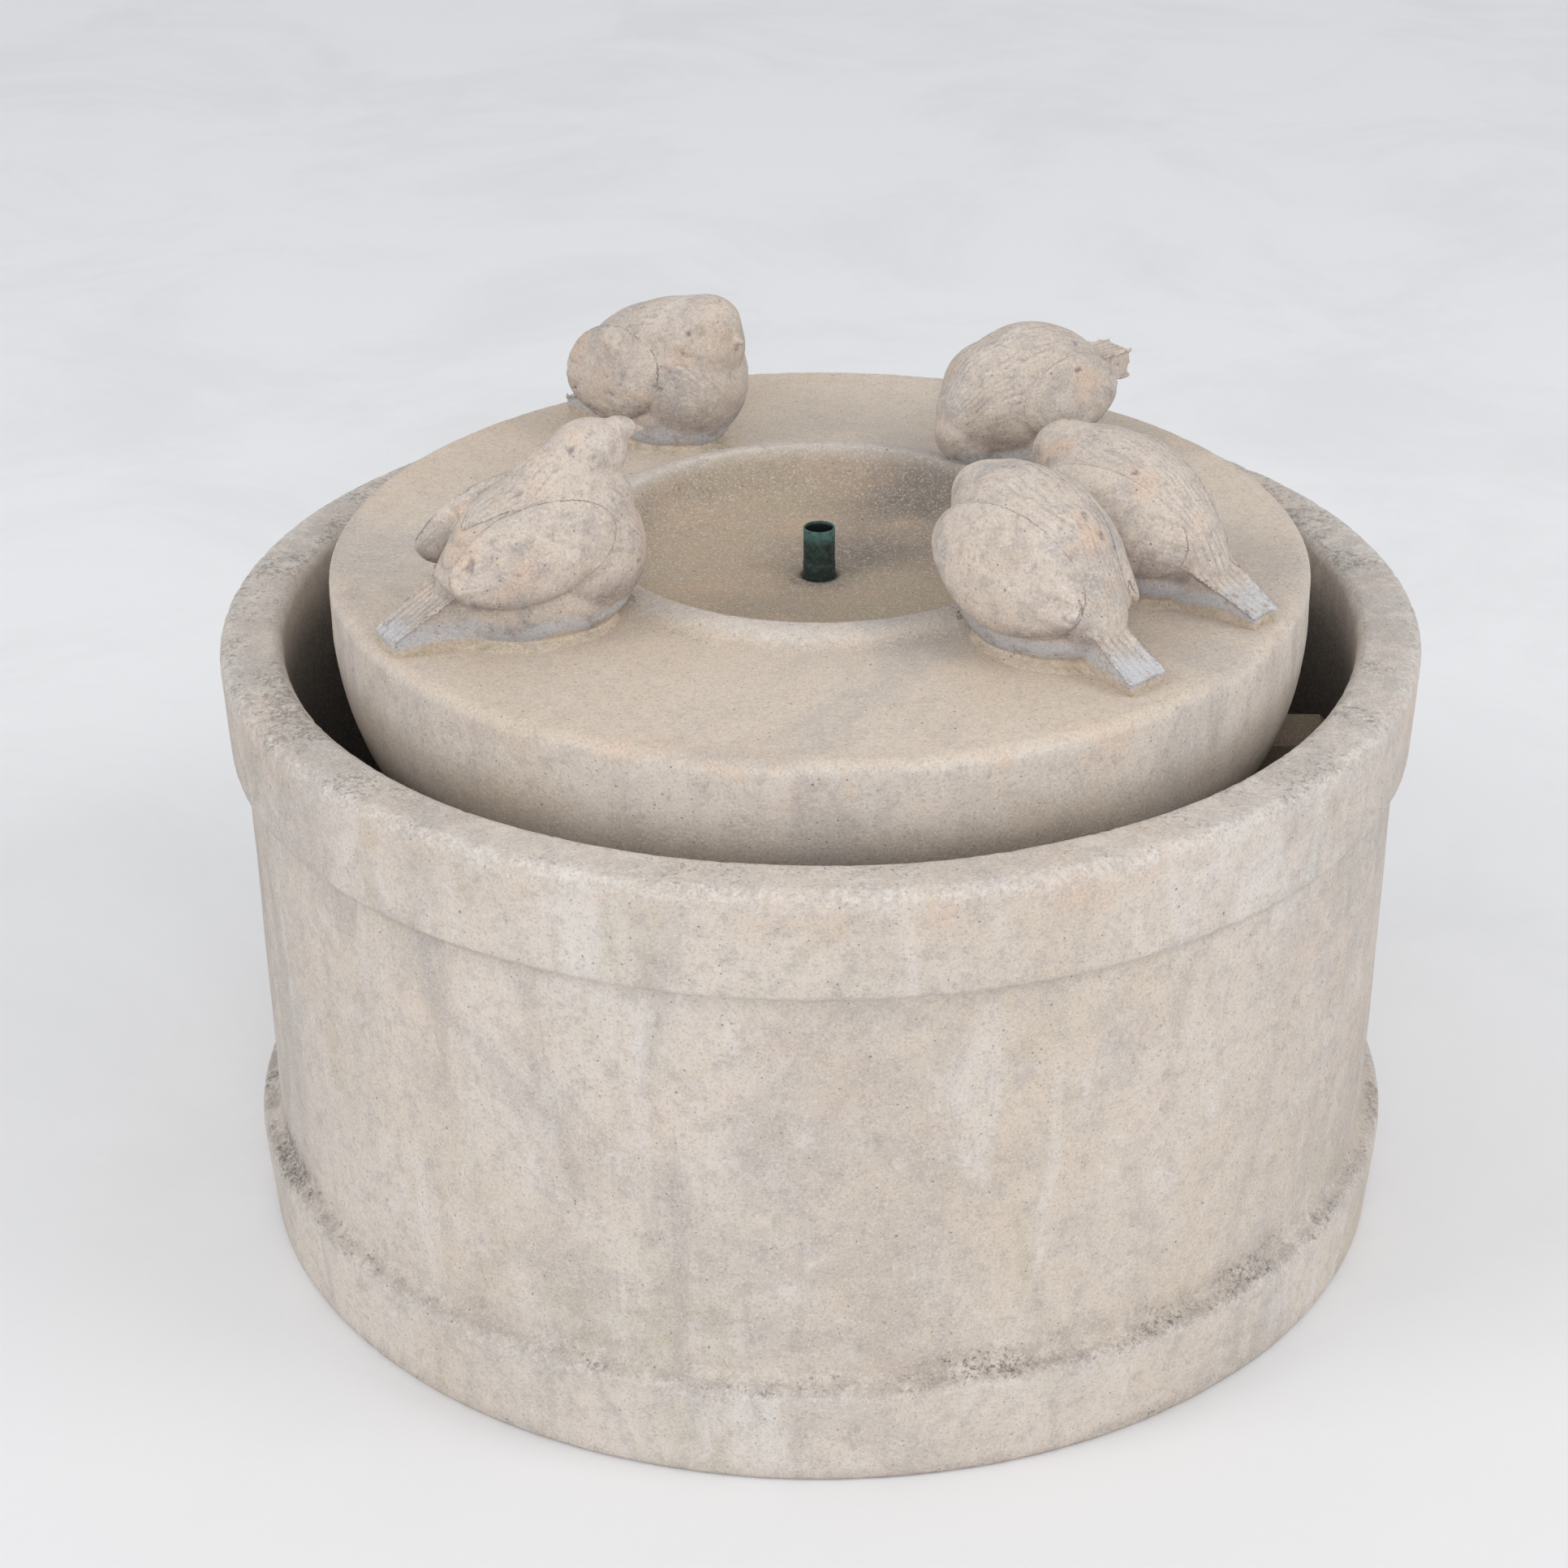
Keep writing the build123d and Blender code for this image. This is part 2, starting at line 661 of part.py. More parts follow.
def cover_screws():
    screws = []
    for y, z in screw_places():
        shank = rod_x(cover_screw_r, front_x - cover_screw_len, cover_front, y, z)
        head = rod_x(cover_screw_head_r, cover_front, cover_front + 1.8, y, z)
        slot = block((cover_front + 0.9, cover_front + 2.0), (y - 4.0, y + 4.0), (z - 0.4, z + 0.4))
        screws.append(whole(shank + head - slot))
    return Compound(children=screws)


def flow_dial():
    low = cover_front - dial_thick + running_gap
    body = rod_x(dial_r, low, cover_front, z=axis_z)
    body = body + rod_x(dial_knob_r, cover_front - over, cage_front + dial_knob_out, z=axis_z)
    body = body - rod_x(hub_pin_r + running_gap, low - over, cover_front + hub_pin_len + free_gap,
                        z=axis_z)
    for side in (-1, 1):
        body = body - rod_x(dial_hole_r, low - over, cover_front + over,
                            z=axis_z + side * dial_hole_out)
    slot = block((cage_front + dial_knob_out - 2.0, cage_front + dial_knob_out + over),
                 (-dial_knob_r - over, dial_knob_r + over),
                 (axis_z - dial_slot_w / 2, axis_z + dial_slot_w / 2))
    return body - slot


def intake_cage():
    outer = case_block(front_x + free_gap, cage_front, cage_gap + cage_wall)
    body = outer - case_block(front_x - over, cage_front - cage_wall, cage_gap)
    pitch = case_w / cage_slots
    slot_h = case_h - 2 * case_round
    for k in range(cage_slots):
        y = (k - (cage_slots - 1) / 2) * pitch
        if abs(y) < dial_knob_r + cage_slot_w:
            continue
        body = body - block((cage_front - cage_wall - over, cage_front + over),
                            (y - cage_slot_w / 2, y + cage_slot_w / 2),
                            (axis_z - slot_h / 2 + 7.0, axis_z + slot_h / 2 - 7.0))
    side_slots = 3
    for k in range(side_slots):
        x = cover_front + cage_len * (k + 1) / (side_slots + 1)
        body = body - block((x - cage_slot_w / 2, x + cage_slot_w / 2), (-case_w, case_w),
                            (axis_z - slot_h / 3, axis_z + slot_h / 3))
    hole = rod_x(dial_knob_r + free_gap, cage_front - cage_wall - over, cage_front + over,
                 z=axis_z)
    return body - hole


def filter_sponge():
    low = cover_front + 3.5
    body = case_block(low, cage_front - cage_wall, cage_gap)
    return body - rod_x(dial_knob_r + 1.5, low - over, cage_front, z=axis_z)


def suction_cups():
    cups = []
    for x, y in cup_places():
        cup = turned(
            (0, basin_floor + 3.0, 0),
            (cup_r * 0.4, basin_floor + 3.0, 0),
            (cup_r - 1.0, basin_floor, 0),
            (cup_r, basin_floor, 0),
            (cup_r, basin_floor + 1.2, 0),
            (cup_r * 0.5, basin_floor + cup_h * 0.55, 1.5),
            (cup_stud_r + 1.0, case_base, 0),
            (0, case_base, 0),
        )
        stud = rod(cup_stud_r, case_base - over, case_base + case_wall)
        cups.append(Pos(x, y, 0) * (cup + stud))
    return Compound(children=cups)


# ---------------------------------------------------------------- all the pieces
def pieces():
    out = {"basin": basin(), "upper_bowl": upper_bowl()}
    for k in range(pier_count):
        azimuth = pier_az + 360.0 / pier_count * k
        out[f"support_pier_{k + 1}"] = support_pier(azimuth)
        out[f"bearing_pad_{k + 1}"] = bearing_pad(azimuth)
    for name, place in BIRDS.items():
        out[name] = bird(place)
        out[name + "_pin"] = bird_pin(place)
    out["riser_tube"] = riser_tube()
    out["riser_bush"] = bowl_bush()
    out["supply_hose"] = supply_hose()
    for name, low in (("lower", clamp_low), ("upper", clamp_high)):
        out["hose_clamp_" + name] = clamp_band(low)
        out["clamp_screw_" + name] = clamp_screw(low)
    out["outlet_adapter"] = outlet_adapter()
    out["drain_stopper"] = drain_stopper()
    out["pump_case"] = pump_case()
    out["potting_resin"] = potting_resin()
    out["stator_core"] = stator_core()
    out["stator_coil"] = stator_coil()
    out["cord_gland"] = cord_gland()
    out["rotor_magnet"] = rotor_magnet()
    out["impeller"] = impeller()
    out["rotor_shaft"] = rotor_shaft()
    out["shaft_bush_rear"] = shaft_bush(shaft_bush_r, bush_back, bush_front)
    out["shaft_bush_front"] = shaft_bush(front_bush_r, front_x - boss_len, front_x)
    out["volute_cover"] = volute_cover()
    out["cover_seal"] = seal_ring()
    out["cover_screws"] = cover_screws()
    out["flow_dial"] = flow_dial()
    out["intake_cage"] = intake_cage()
    out["filter_sponge"] = filter_sponge()
    out["suction_cups"] = suction_cups()
    return out


os.makedirs("parts", exist_ok=True)
for node, shape in pieces().items():
    export_step(shape, f"parts/{node}.step")
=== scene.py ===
"""Looks of the cast-stone bird fountain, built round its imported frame."""
import math

import bmesh
import bpy
import numpy as np
from mathutils import Matrix, Vector, noise


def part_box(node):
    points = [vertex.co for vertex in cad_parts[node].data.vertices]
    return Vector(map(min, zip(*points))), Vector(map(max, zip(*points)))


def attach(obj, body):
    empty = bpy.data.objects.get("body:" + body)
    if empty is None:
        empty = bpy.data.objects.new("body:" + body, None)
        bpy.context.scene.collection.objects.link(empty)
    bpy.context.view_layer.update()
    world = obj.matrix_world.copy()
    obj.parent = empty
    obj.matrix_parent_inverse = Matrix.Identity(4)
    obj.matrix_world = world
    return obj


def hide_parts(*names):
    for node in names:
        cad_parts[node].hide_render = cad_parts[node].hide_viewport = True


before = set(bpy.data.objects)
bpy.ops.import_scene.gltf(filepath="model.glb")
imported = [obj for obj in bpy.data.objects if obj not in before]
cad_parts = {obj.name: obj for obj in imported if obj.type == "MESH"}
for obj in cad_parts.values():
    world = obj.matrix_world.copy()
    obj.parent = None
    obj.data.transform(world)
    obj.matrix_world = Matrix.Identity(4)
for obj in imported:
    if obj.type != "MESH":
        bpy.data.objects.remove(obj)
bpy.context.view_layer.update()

bl_info = {
    "name": "Stone Bird Fountain",
    "version": (1, 0, 0),
    "blender": (4, 5, 0),
    "location": "3D View > Sidebar > Fountain",
    "description": "Makes a weathered cast-stone fountain with five birds round its pump and basin",
    "category": "Add Mesh",
}

MM = 0.001
FULL_TURN = 2 * math.pi

BASIN_LOW, BASIN_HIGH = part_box("basin")
BOWL_LOW, BOWL_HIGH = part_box("upper_bowl")
RISER_LOW, RISER_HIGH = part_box("riser_tube")
BUSH_LOW, BUSH_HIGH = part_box("riser_bush")
STOPPER_LOW, STOPPER_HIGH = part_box("drain_stopper")
BASIN_STEPS, BOWL_STEPS, RISER_STEPS = 540, 520, 72
BIRD_NAMES = ("bird_front_left", "bird_back_left", "bird_back_right", "bird_right", "bird_front_right")


# ---------------------------------------------------------------- settings
def length(name, description, default, low=0.0):
    return bpy.props.FloatProperty(name=name, description=description, default=default, min=low,
                                   subtype="DISTANCE", unit="LENGTH")


def colour(name, description, default):
    return bpy.props.FloatVectorProperty(name=name, description=description, default=default,
                                         size=3, min=0.0, max=1.0, subtype="COLOR")


def angle(name, description, degrees):
    return bpy.props.FloatProperty(name=name, description=description,
                                   default=math.radians(degrees), subtype="ANGLE", unit="ROTATION")


class FountainBasinSettings(bpy.types.PropertyGroup):
    """Sizes of the basin that its box doesn't give."""
    rim_width: length("Rim width", "Flat width of the rim", 43 * MM)
    band_height: length("Band height", "Height of the band under the rim", 75 * MM)
    band_step: length("Band step", "How far the band stands out from the wall", 12 * MM)
    wall_draft: length("Wall draft", "How much smaller the wall is at its foot", 4 * MM)
    foot_height: length("Foot height", "Height of the foot band", 72 * MM)
    foot_step: length("Foot step", "How far the foot band stands out from the wall", 14 * MM)
    foot_draft: length("Foot draft", "How much smaller the foot band is on the ground", 6 * MM)
    floor_thickness: length("Floor thickness", "Thickness of the basin's floor", 62 * MM)
    wall_thickness: length("Wall thickness", "Thickness of the wall near the floor", 36 * MM)
    channel_width: length("Channel width", "Width of the drain channel", 30 * MM)
    channel_height: length("Channel height", "Height of the drain channel", 18 * MM)
    drain_radius: length("Drain radius", "Radius of the drain hole", 16 * MM)


class FountainBowlSettings(bpy.types.PropertyGroup):
    """Sizes of the upper bowl that its box doesn't give."""
    lip_height: length("Lip height", "Height of the rolled lip above the flat top", 11 * MM)
    dish_radius: length("Dish radius", "Inside radius of the rolled lip", 149 * MM)
    lip_width: length("Lip width", "Width of the rolled lip", 25 * MM)
    dish_depth: length("Dish depth", "Depth of the dish below the flat top", 24 * MM)
    side_height: length("Side height", "Height of the straight side", 65 * MM)
    belly_in: length("Belly", "How far in the rounded belly turns", 15 * MM)
    base_in: length("Base", "How much smaller the base is than the side", 32 * MM)
    recess_radius: length("Recess radius", "Radius of the hollow underneath", 240 * MM)
    hole_gap: length("Hole gap", "Gap between the riser and the hole", 1.6 * MM)


class FountainStoneSettings(bpy.types.PropertyGroup):
    """Colours of the weathered stone, some also used for painted shade."""
    pale: colour("Pale", "Clean dry stone", (0.675, 0.60, 0.53))
    bird: colour("Bird", "Clean stone of the birds", (0.62, 0.53, 0.455))
    warm: colour("Warm", "Buff stone", (0.60, 0.49, 0.385))
    cool: colour("Cool", "Grey weathered stone", (0.42, 0.38, 0.355))
    white: colour("White", "Lime bloom", (0.74, 0.70, 0.665))
    blush: colour("Blush", "Iron stain", (0.70, 0.455, 0.30))
    moss: colour("Moss", "Thin algae film", (0.41, 0.37, 0.235))
    # Brown dirt, and also the colour of painted shade in grooves, creases, at the lip's foot and under
    # the rim band.
    grime_and_shade: colour("Grime", "Brown dirt held in corners and grooves", (0.28, 0.225, 0.185))
    # Dark specks and pits, and also the colour of the painted shade inside the basin and of the painted
    # bird shadow in the dish.
    soot_and_shade: colour("Soot", "Dark lichen specks and pits", (0.13, 0.115, 0.10))
    # Stained brown of the dish, and also painted shade on the bowl's lower side and underside.
    wet_and_shade: colour("Wet", "Stained stone of the dish", (0.38, 0.285, 0.195))
    # Purplish mottling and bloom on the birds, and also painted shade on their undersides.
    plum_and_shade: colour("Plum", "Purplish dirt under the birds", (0.255, 0.215, 0.21))
    lime: colour("Lime", "Bluish bloom where the birds meet the bowl", (0.52, 0.535, 0.57))


class FountainStageSettings(bpy.types.PropertyGroup):
    """Camera, lights and floor."""
    lens: bpy.props.FloatProperty(name="Lens", description="Focal length", default=79.78,
                                  unit="CAMERA")
    distance: length("Distance", "Level distance of the camera from the fountain's axis", 2.180)
    height: length("Height", "Height of the camera above the floor", 1.431)
    pitch: angle("Pitch", "How far the camera looks down", 27.47)
    yaw: angle("Yaw", "How far the camera looks to the side", -0.665)
    roll: angle("Roll", "How far the camera leans", -0.453)
    floor: colour("Floor", "Colour of the floor", (0.88, 0.88, 0.895))
    sky: bpy.props.FloatProperty(name="Sky", description="Strength of the light all round",
                                 default=0.72, min=0.0)
    key: bpy.props.FloatProperty(name="Key", description="Power of each side light",
                                 default=30.0, min=0.0, unit="POWER")


# ---------------------------------------------------------------- mesh helpers
def rounded_line(bm, corners, step):
    """Edges through (radius, height, rounding) corners. step(point) gives the longest edge there."""
    verts = [bm.verts.new((radius, 0.0, height)) for radius, height, _ in corners]
    for pair in zip(verts, verts[1:]):
        bm.edges.new(pair)
    for vert, (_, _, rounding) in zip(verts, corners):
        if rounding:
            segments = max(2, math.ceil(rounding * 1.4 / step(vert.co)))
            bmesh.ops.bevel(bm, geom=[vert], offset=rounding, offset_type="OFFSET",
                            segments=segments, profile=0.5, affect="VERTICES", material=-1,
                            clamp_overlap=True)
    for edge in list(bm.edges):
        middle = (edge.verts[0].co + edge.verts[1].co) / 2
        cuts = math.ceil(edge.calc_length() / step(middle)) - 1
        if cuts > 0:
            bmesh.ops.subdivide_edges(bm, edges=[edge], cuts=cuts)


def spin_line(bm, steps):
    """Turns the line into a closed round shell, and closes a line that isn't ended on the axis."""
    ends = [vert for vert in bm.verts if len(vert.link_edges) == 1]
    if all(vert.co.x > MM for vert in ends):
        bm.edges.new(ends)
    bmesh.ops.spin(bm, geom=bm.verts[:] + bm.edges[:], cent=(0, 0, 0), axis=(0, 0, 1),
                   dvec=(0, 0, 0), angle=FULL_TURN, steps=steps, use_merge=True)
    bmesh.ops.remove_doubles(bm, verts=bm.verts[:], dist=0.01 * MM)
    bmesh.ops.recalc_face_normals(bm, faces=bm.faces[:])


def new_piece(name, bm):
    for face in bm.faces:
        face.smooth = True
    mesh = bpy.data.meshes.new(name)
    bm.to_mesh(mesh)
    bm.free()
    piece = bpy.data.objects.new(name, mesh)
    bpy.context.scene.collection.objects.link(piece)
    return piece


def bake_modifiers(piece):
    graph = bpy.context.evaluated_depsgraph_get()
    done = bpy.data.meshes.new_from_object(piece.evaluated_get(graph))
    old = piece.data
    piece.modifiers.clear()
    piece.data = done
    bpy.data.meshes.remove(old)
    for face in done.polygons:
        face.use_smooth = True


def cut_with(piece, cutter_bm):
    """Cuts a closed shape out of the piece."""
    cutter = new_piece("cutter", cutter_bm)
    cut = piece.modifiers.new("cut", "BOOLEAN")
    cut.operation = "DIFFERENCE"
    cut.solver = "FAST"
    cut.object = cutter
    bake_modifiers(piece)
    bpy.data.objects.remove(cutter)


def points_of(mesh):
    flat = np.zeros(len(mesh.vertices) * 3)
    mesh.vertices.foreach_get("co", flat)
    return flat.reshape(-1, 3)


def normals_of(mesh):
    flat = np.zeros(len(mesh.vertices) * 3)
    mesh.vertex_normals.foreach_get("vector", flat)
    return flat.reshape(-1, 3)


def move_points(mesh, points):
    mesh.vertices.foreach_set("co", points.astype(np.float32).ravel())
    mesh.update()


def paint(mesh, name, values):
    """Stores a mask on the mesh's points, for its material."""
    layer = mesh.attributes.get(name) or mesh.attributes.new(name, "FLOAT", "POINT")
    layer.data.foreach_set("value", np.asarray(values, np.float32))


def noise_at(points, scale, seed=0.0):
    """Smooth noise from -1 to 1 at each point, with scale waves to the metre."""
    shift = Vector((seed, seed * 1.7, seed * 0.6))
    return np.array([noise.noise(Vector(p) * scale + shift) for p in points])


def near(value, middle, reach):
    """1 at the middle, falling away to nothing over the reach."""
    return np.exp(-((value - middle) / reach) ** 2)


def smooth(value, low, high):
    t = np.clip((value - low) / (high - low), 0.0, 1.0)
    return t * t * (3.0 - 2.0 * t)


def finish_piece(piece, body, slot, material, *nodes):
    piece.data.materials.clear()
    piece.data.materials.append(material)
    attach(piece, body)
    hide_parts(*nodes)


# ---------------------------------------------------------------- material helpers
class Finish:
    """A material that is put together node by node."""

    def __init__(self, name, tint):
        self.tint = tuple(tint)
        self.material = bpy.data.materials.new(name)
        self.material.use_nodes = True
        self.tree = self.material.node_tree
        self.shader = self.tree.nodes["Principled BSDF"]
        self.place = self.tree.nodes.new("ShaderNodeTexCoord").outputs["Object"]

    def node(self, kind, **settings):
        node = self.tree.nodes.new(kind)
        for key, value in settings.items():
            setattr(node, key, value)
        return node

    def join(self, socket, value):
        if isinstance(value, bpy.types.NodeSocket):
            self.tree.links.new(value, socket)
        elif isinstance(value, (tuple, list)) and len(value) == 3 and socket.type == "RGBA":
            socket.default_value = (*value, 1.0)
        else:
            socket.default_value = value

    def moved_place(self, shift, stretch):
        """The place on the object, shifted and stretched where either is asked for."""
        if shift is None and stretch is None:
            return self.place
        node = self.node("ShaderNodeMapping")
        self.join(node.inputs["Vector"], self.place)
        node.inputs["Scale"].default_value = stretch or (1, 1, 1)
        node.inputs["Location"].default_value = shift or (0, 0, 0)
        return node.outputs["Vector"]

    def noise(self, scale, detail=4.0, rough=0.55, shift=None, stretch=None, bend=0.0):
        place = self.moved_place(shift, stretch)
        node = self.node("ShaderNodeTexNoise")
        self.join(node.inputs["Vector"], place)
        node.inputs["Scale"].default_value = scale
        node.inputs["Detail"].default_value = detail
        node.inputs["Roughness"].default_value = rough
        node.inputs["Distortion"].default_value = bend
        return node.outputs["Fac"]

    def cells(self, scale, shift=None):
        """Distance to the nearest cell's middle, and that cell's own number from 0 to 1."""
        place = self.moved_place(shift, None)
        node = self.node("ShaderNodeTexVoronoi")
        self.join(node.inputs["Vector"], place)
        node.inputs["Scale"].default_value = scale
        parts = self.node("ShaderNodeSeparateColor")
        self.join(parts.inputs["Color"], node.outputs["Color"])
        return node.outputs["Distance"], parts.outputs["Red"]

    def mask(self, name):
        return self.node("ShaderNodeAttribute", attribute_name=name).outputs["Fac"]

    def masked(self, name, *band):
        """A mask broken up by a band of noise."""
        return self.times(self.mask(name), self.band(*band))

    def band(self, value, low, high, start=0.0, end=1.0):
        """Value taken from low..high to start..end, smoothly and held there."""
        node = self.node("ShaderNodeMapRange", interpolation_type="SMOOTHSTEP", clamp=True)
        self.join(node.inputs["Value"], value)
        node.inputs["From Min"].default_value = low
        node.inputs["From Max"].default_value = high
        node.inputs["To Min"].default_value = start
        node.inputs["To Max"].default_value = end
        return node.outputs["Result"]

    def maths(self, kind, a, b):
        node = self.node("ShaderNodeMath", operation=kind)
        self.join(node.inputs[0], a)
        self.join(node.inputs[1], b)
        return node.outputs["Value"]

    def times(self, a, b):
        return self.maths("MULTIPLY", a, b)

    def plus(self, a, b):
        return self.maths("ADD", a, b)

    def mix(self, amount, a, b):
        node = self.node("ShaderNodeMix", data_type="RGBA")
        self.join(node.inputs["Factor"], amount)
        self.join(node.inputs[6], a)
        self.join(node.inputs[7], b)
        return node.outputs[2]

    def coat(self, amount, colour):
        """Lays a colour over what the surface has so far."""
        self.tint = self.mix(amount, self.tint, tuple(colour))

    def bump(self, height, distance, strength):
        node = self.node("ShaderNodeBump")
        node.inputs["Strength"].default_value = strength
        node.inputs["Distance"].default_value = distance
        self.join(node.inputs["Height"], height)
        return node.outputs["Normal"]

    def close(self, roughness, normal, metallic=0.0):
        self.join(self.shader.inputs["Base Color"], self.tint)
        self.join(self.shader.inputs["Roughness"], roughness)
        self.shader.inputs["Metallic"].default_value = metallic
        self.join(self.shader.inputs["Normal"], normal)
        return self.material


# ---------------------------------------------------------------- stone finishes
def stone_ground(finish, stone, shift=0.0, warm=0.6, cool=0.6, cloud=1.0):
    """Clouds of buff, grey and lime over the base colour, from broad to fine."""
    broad = finish.noise(3.4 * cloud, 6.0, 0.6, shift=(shift, shift * 0.7, shift * 0.3), bend=0.5)
    finish.coat(finish.times(finish.band(broad, 0.42, 0.64), warm), stone.warm)
    patch = finish.noise(5.5 * cloud, 9.0, 0.68, shift=(3.0 + shift, 1.0, 5.0), bend=0.8)
    finish.coat(finish.times(finish.band(patch, 0.48, 0.66), cool), stone.cool)
    bloom = finish.noise(26.0, 9.0, 0.72, shift=(8.0, 2.0 + shift, 1.0), bend=0.4)
    finish.coat(finish.band(bloom, 0.52, 0.70, 0.0, 0.55), stone.white)
    smudge = finish.noise(70.0, 6.0, 0.72, shift=(1.0, 9.0 + shift, 4.0))
    finish.coat(finish.band(smudge, 0.48, 0.68, 0.0, 0.55), stone.cool)


def stone_grain(finish, stone, pores=0.70):
    """Sand grains and a few pinholes as colour. Gives them back as relief too."""
    sand = finish.noise(560.0, 2.0, 0.7)
    finish.coat(finish.band(sand, 0.53, 0.72, 0.0, 0.34), stone.soot_and_shade)
    finish.coat(finish.band(sand, 0.47, 0.30, 0.0, 0.46), stone.white)
    salt = finish.noise(190.0, 4.0, 0.78, shift=(1.0, 4.0, 2.0))
    finish.coat(finish.band(salt, 0.49, 0.70, 0.0, 0.48), stone.cool)
    distance, number = finish.cells(170.0)
    hole = finish.times(finish.band(distance, 0.12, 0.04), finish.band(number, pores, pores + 0.02))
    wide, wide_number = finish.cells(60.0, shift=(5.0, 1.0, 3.0))
    pit = finish.times(finish.band(wide, 0.065, 0.02), finish.band(wide_number, 0.66, 0.68))
    marks = finish.maths("MAXIMUM", hole, pit)
    finish.coat(finish.times(marks, 0.58), stone.soot_and_shade)
    relief = finish.plus(finish.times(sand, 0.45), finish.times(salt, 0.7))
    return finish.plus(relief, finish.times(marks, -1.2))


def specks(finish, amount, scale, strength):
    """Fine dark specks in broken patches, where the amount is high."""
    broken = finish.noise(scale / 14.0, 5.0, 0.7, shift=(6.0, 1.0, 8.0))
    amount = finish.times(amount, finish.band(broken, 0.40, 0.62))
    fine = finish.noise(scale, 5.0, 0.8, shift=(2.0, 7.0, 4.0))
    level = finish.plus(fine, finish.times(amount, 0.17))
    return finish.times(finish.band(level, 0.60, 0.74, 0.0, strength), finish.band(amount, 0.02, 0.5))


def basin_finish(stone):
    finish = Finish("weathered_basin_stone", stone.pale)
    stone_ground(finish, stone, warm=0.55, cool=0.50)
    runs = finish.noise(1.0, 8.0, 0.66, stretch=(13.0, 13.0, 3.4), bend=0.9)
    finish.coat(finish.band(runs, 0.49, 0.66, 0.0, 0.50), stone.cool)
    light = finish.noise(1.0, 8.0, 0.68, shift=(4, 1, 0), stretch=(17.0, 17.0, 4.4), bend=0.9)
    finish.coat(finish.band(light, 0.52, 0.68, 0.0, 0.55), stone.white)
    algae = finish.noise(1.0, 8.0, 0.70, shift=(9, 3, 1), stretch=(9.0, 9.0, 6.0), bend=0.7)
    finish.coat(finish.band(algae, 0.53, 0.69, 0.0, 0.34), stone.moss)
    grey = finish.noise(60.0, 8.0, 0.75, shift=(5.0, 5.0, 5.0))
    # Greyer damp stone at the rim's top and on the foot's ledge, and painted shade greying the wall's
    # left and right sides.
    finish.coat(finish.masked("damp_and_side_shade", grey, 0.40, 0.60, 0.25, 0.85), stone.cool)
    rust = finish.noise(12.0, 7.0, 0.66, shift=(0.0, 6.0, 2.0))
    finish.coat(finish.masked("rust", rust, 0.46, 0.68, 0.0, 0.40), stone.blush)
    crumbs = finish.noise(210.0, 5.0, 0.8, shift=(7.0, 7.0, 1.0))
    worn = finish.mask("worn")
    finish.coat(finish.times(worn, finish.band(crumbs, 0.46, 0.62, 0.15, 0.8)), stone.white)
    finish.coat(finish.times(worn, finish.band(crumbs, 0.46, 0.32, 0.0, 0.55)), stone.cool)
    # Grime on the foot's ledge, darker towards the ground, and painted shade under the rim band.
    finish.coat(finish.masked("lichen_and_shade", grey, 0.38, 0.60, 0.10, 0.55), stone.grime_and_shade)
    finish.coat(specks(finish, finish.mask("lichen_and_shade"), 300.0, 0.85), stone.soot_and_shade)
    finish.coat(specks(finish, finish.mask("damp_and_side_shade"), 260.0, 0.60), stone.soot_and_shade)
    # Painted shade: the basin's inner wall is darkened from under the rim down to its floor, where it
    # lies in shade under the bowl.
    finish.coat(finish.times(finish.mask("inside"), 0.80), stone.soot_and_shade)
    relief = stone_grain(finish, stone)
    coarse = finish.noise(120.0, 5.0, 0.7)
    relief = finish.plus(relief, finish.times(finish.times(coarse, worn), 2.4))
    return finish.close(finish.band(relief, 0.2, 0.9, 0.95, 0.82),
                        finish.bump(relief, 0.9 * MM, 0.8))


def bowl_finish(stone):
    finish = Finish("weathered_bowl_stone", stone.pale)
    stone_ground(finish, stone, shift=11.0, warm=0.85, cool=0.40)
    # Flat top warmer and darker than the side: partly a real stain, partly painted shade where the
    # front light falls less.
    finish.coat(finish.times(finish.mask("top"), 0.60), stone.warm)
    clouds = finish.noise(4.2, 7.0, 0.62, shift=(1.0, 2.0, 0.0), bend=0.8)
    finish.coat(finish.masked("top", clouds, 0.45, 0.62, 0.0, 0.62), stone.cool)
    finish.coat(finish.times(finish.mask("dish"), 0.88), stone.wet_and_shade)
    algae = finish.noise(11.0, 7.0, 0.7, shift=(2.0, 5.0, 7.0), bend=0.5)
    finish.coat(finish.masked("dish", algae, 0.46, 0.66, 0.0, 0.60), stone.moss)
    # Painted shadow of the birds on the dish, with some damp staining.
    finish.coat(finish.masked("stain_and_shadow", algae, 0.36, 0.60, 0.70, 0.98), stone.soot_and_shade)
    finish.coat(finish.masked("lip", clouds, 0.40, 0.60, 0.25, 0.75), stone.cool)
    runs = finish.noise(1.0, 7.0, 0.64, stretch=(20.0, 20.0, 3.0), bend=0.6)
    side = finish.mask("side")
    # Painted shade: the bowl's lower side and underside are darkened.
    finish.coat(finish.times(finish.mask("low_side"), 0.35), stone.wet_and_shade)
    finish.coat(finish.times(side, finish.band(runs, 0.48, 0.68, 0.0, 0.45)), stone.cool)
    rust = finish.noise(15.0, 6.0, 0.66, shift=(0.0, 1.0, 2.0))
    finish.coat(finish.masked("rust", rust, 0.46, 0.66, 0.0, 0.6), stone.blush)
    # Grime in the dish, and painted shade in the lip's groove, in the dish's corner, round the riser
    # and low on the side.
    lichen_and_shade = finish.mask("lichen_and_shade")
    finish.coat(finish.times(lichen_and_shade, finish.band(algae, 0.36, 0.60, 0.15, 0.65)), stone.grime_and_shade)
    finish.coat(specks(finish, lichen_and_shade, 300.0, 0.65), stone.soot_and_shade)
    relief = stone_grain(finish, stone, 0.66)
    return finish.close(finish.band(relief, 0.2, 0.9, 0.93, 0.80),
                        finish.bump(relief, 0.8 * MM, 0.8))


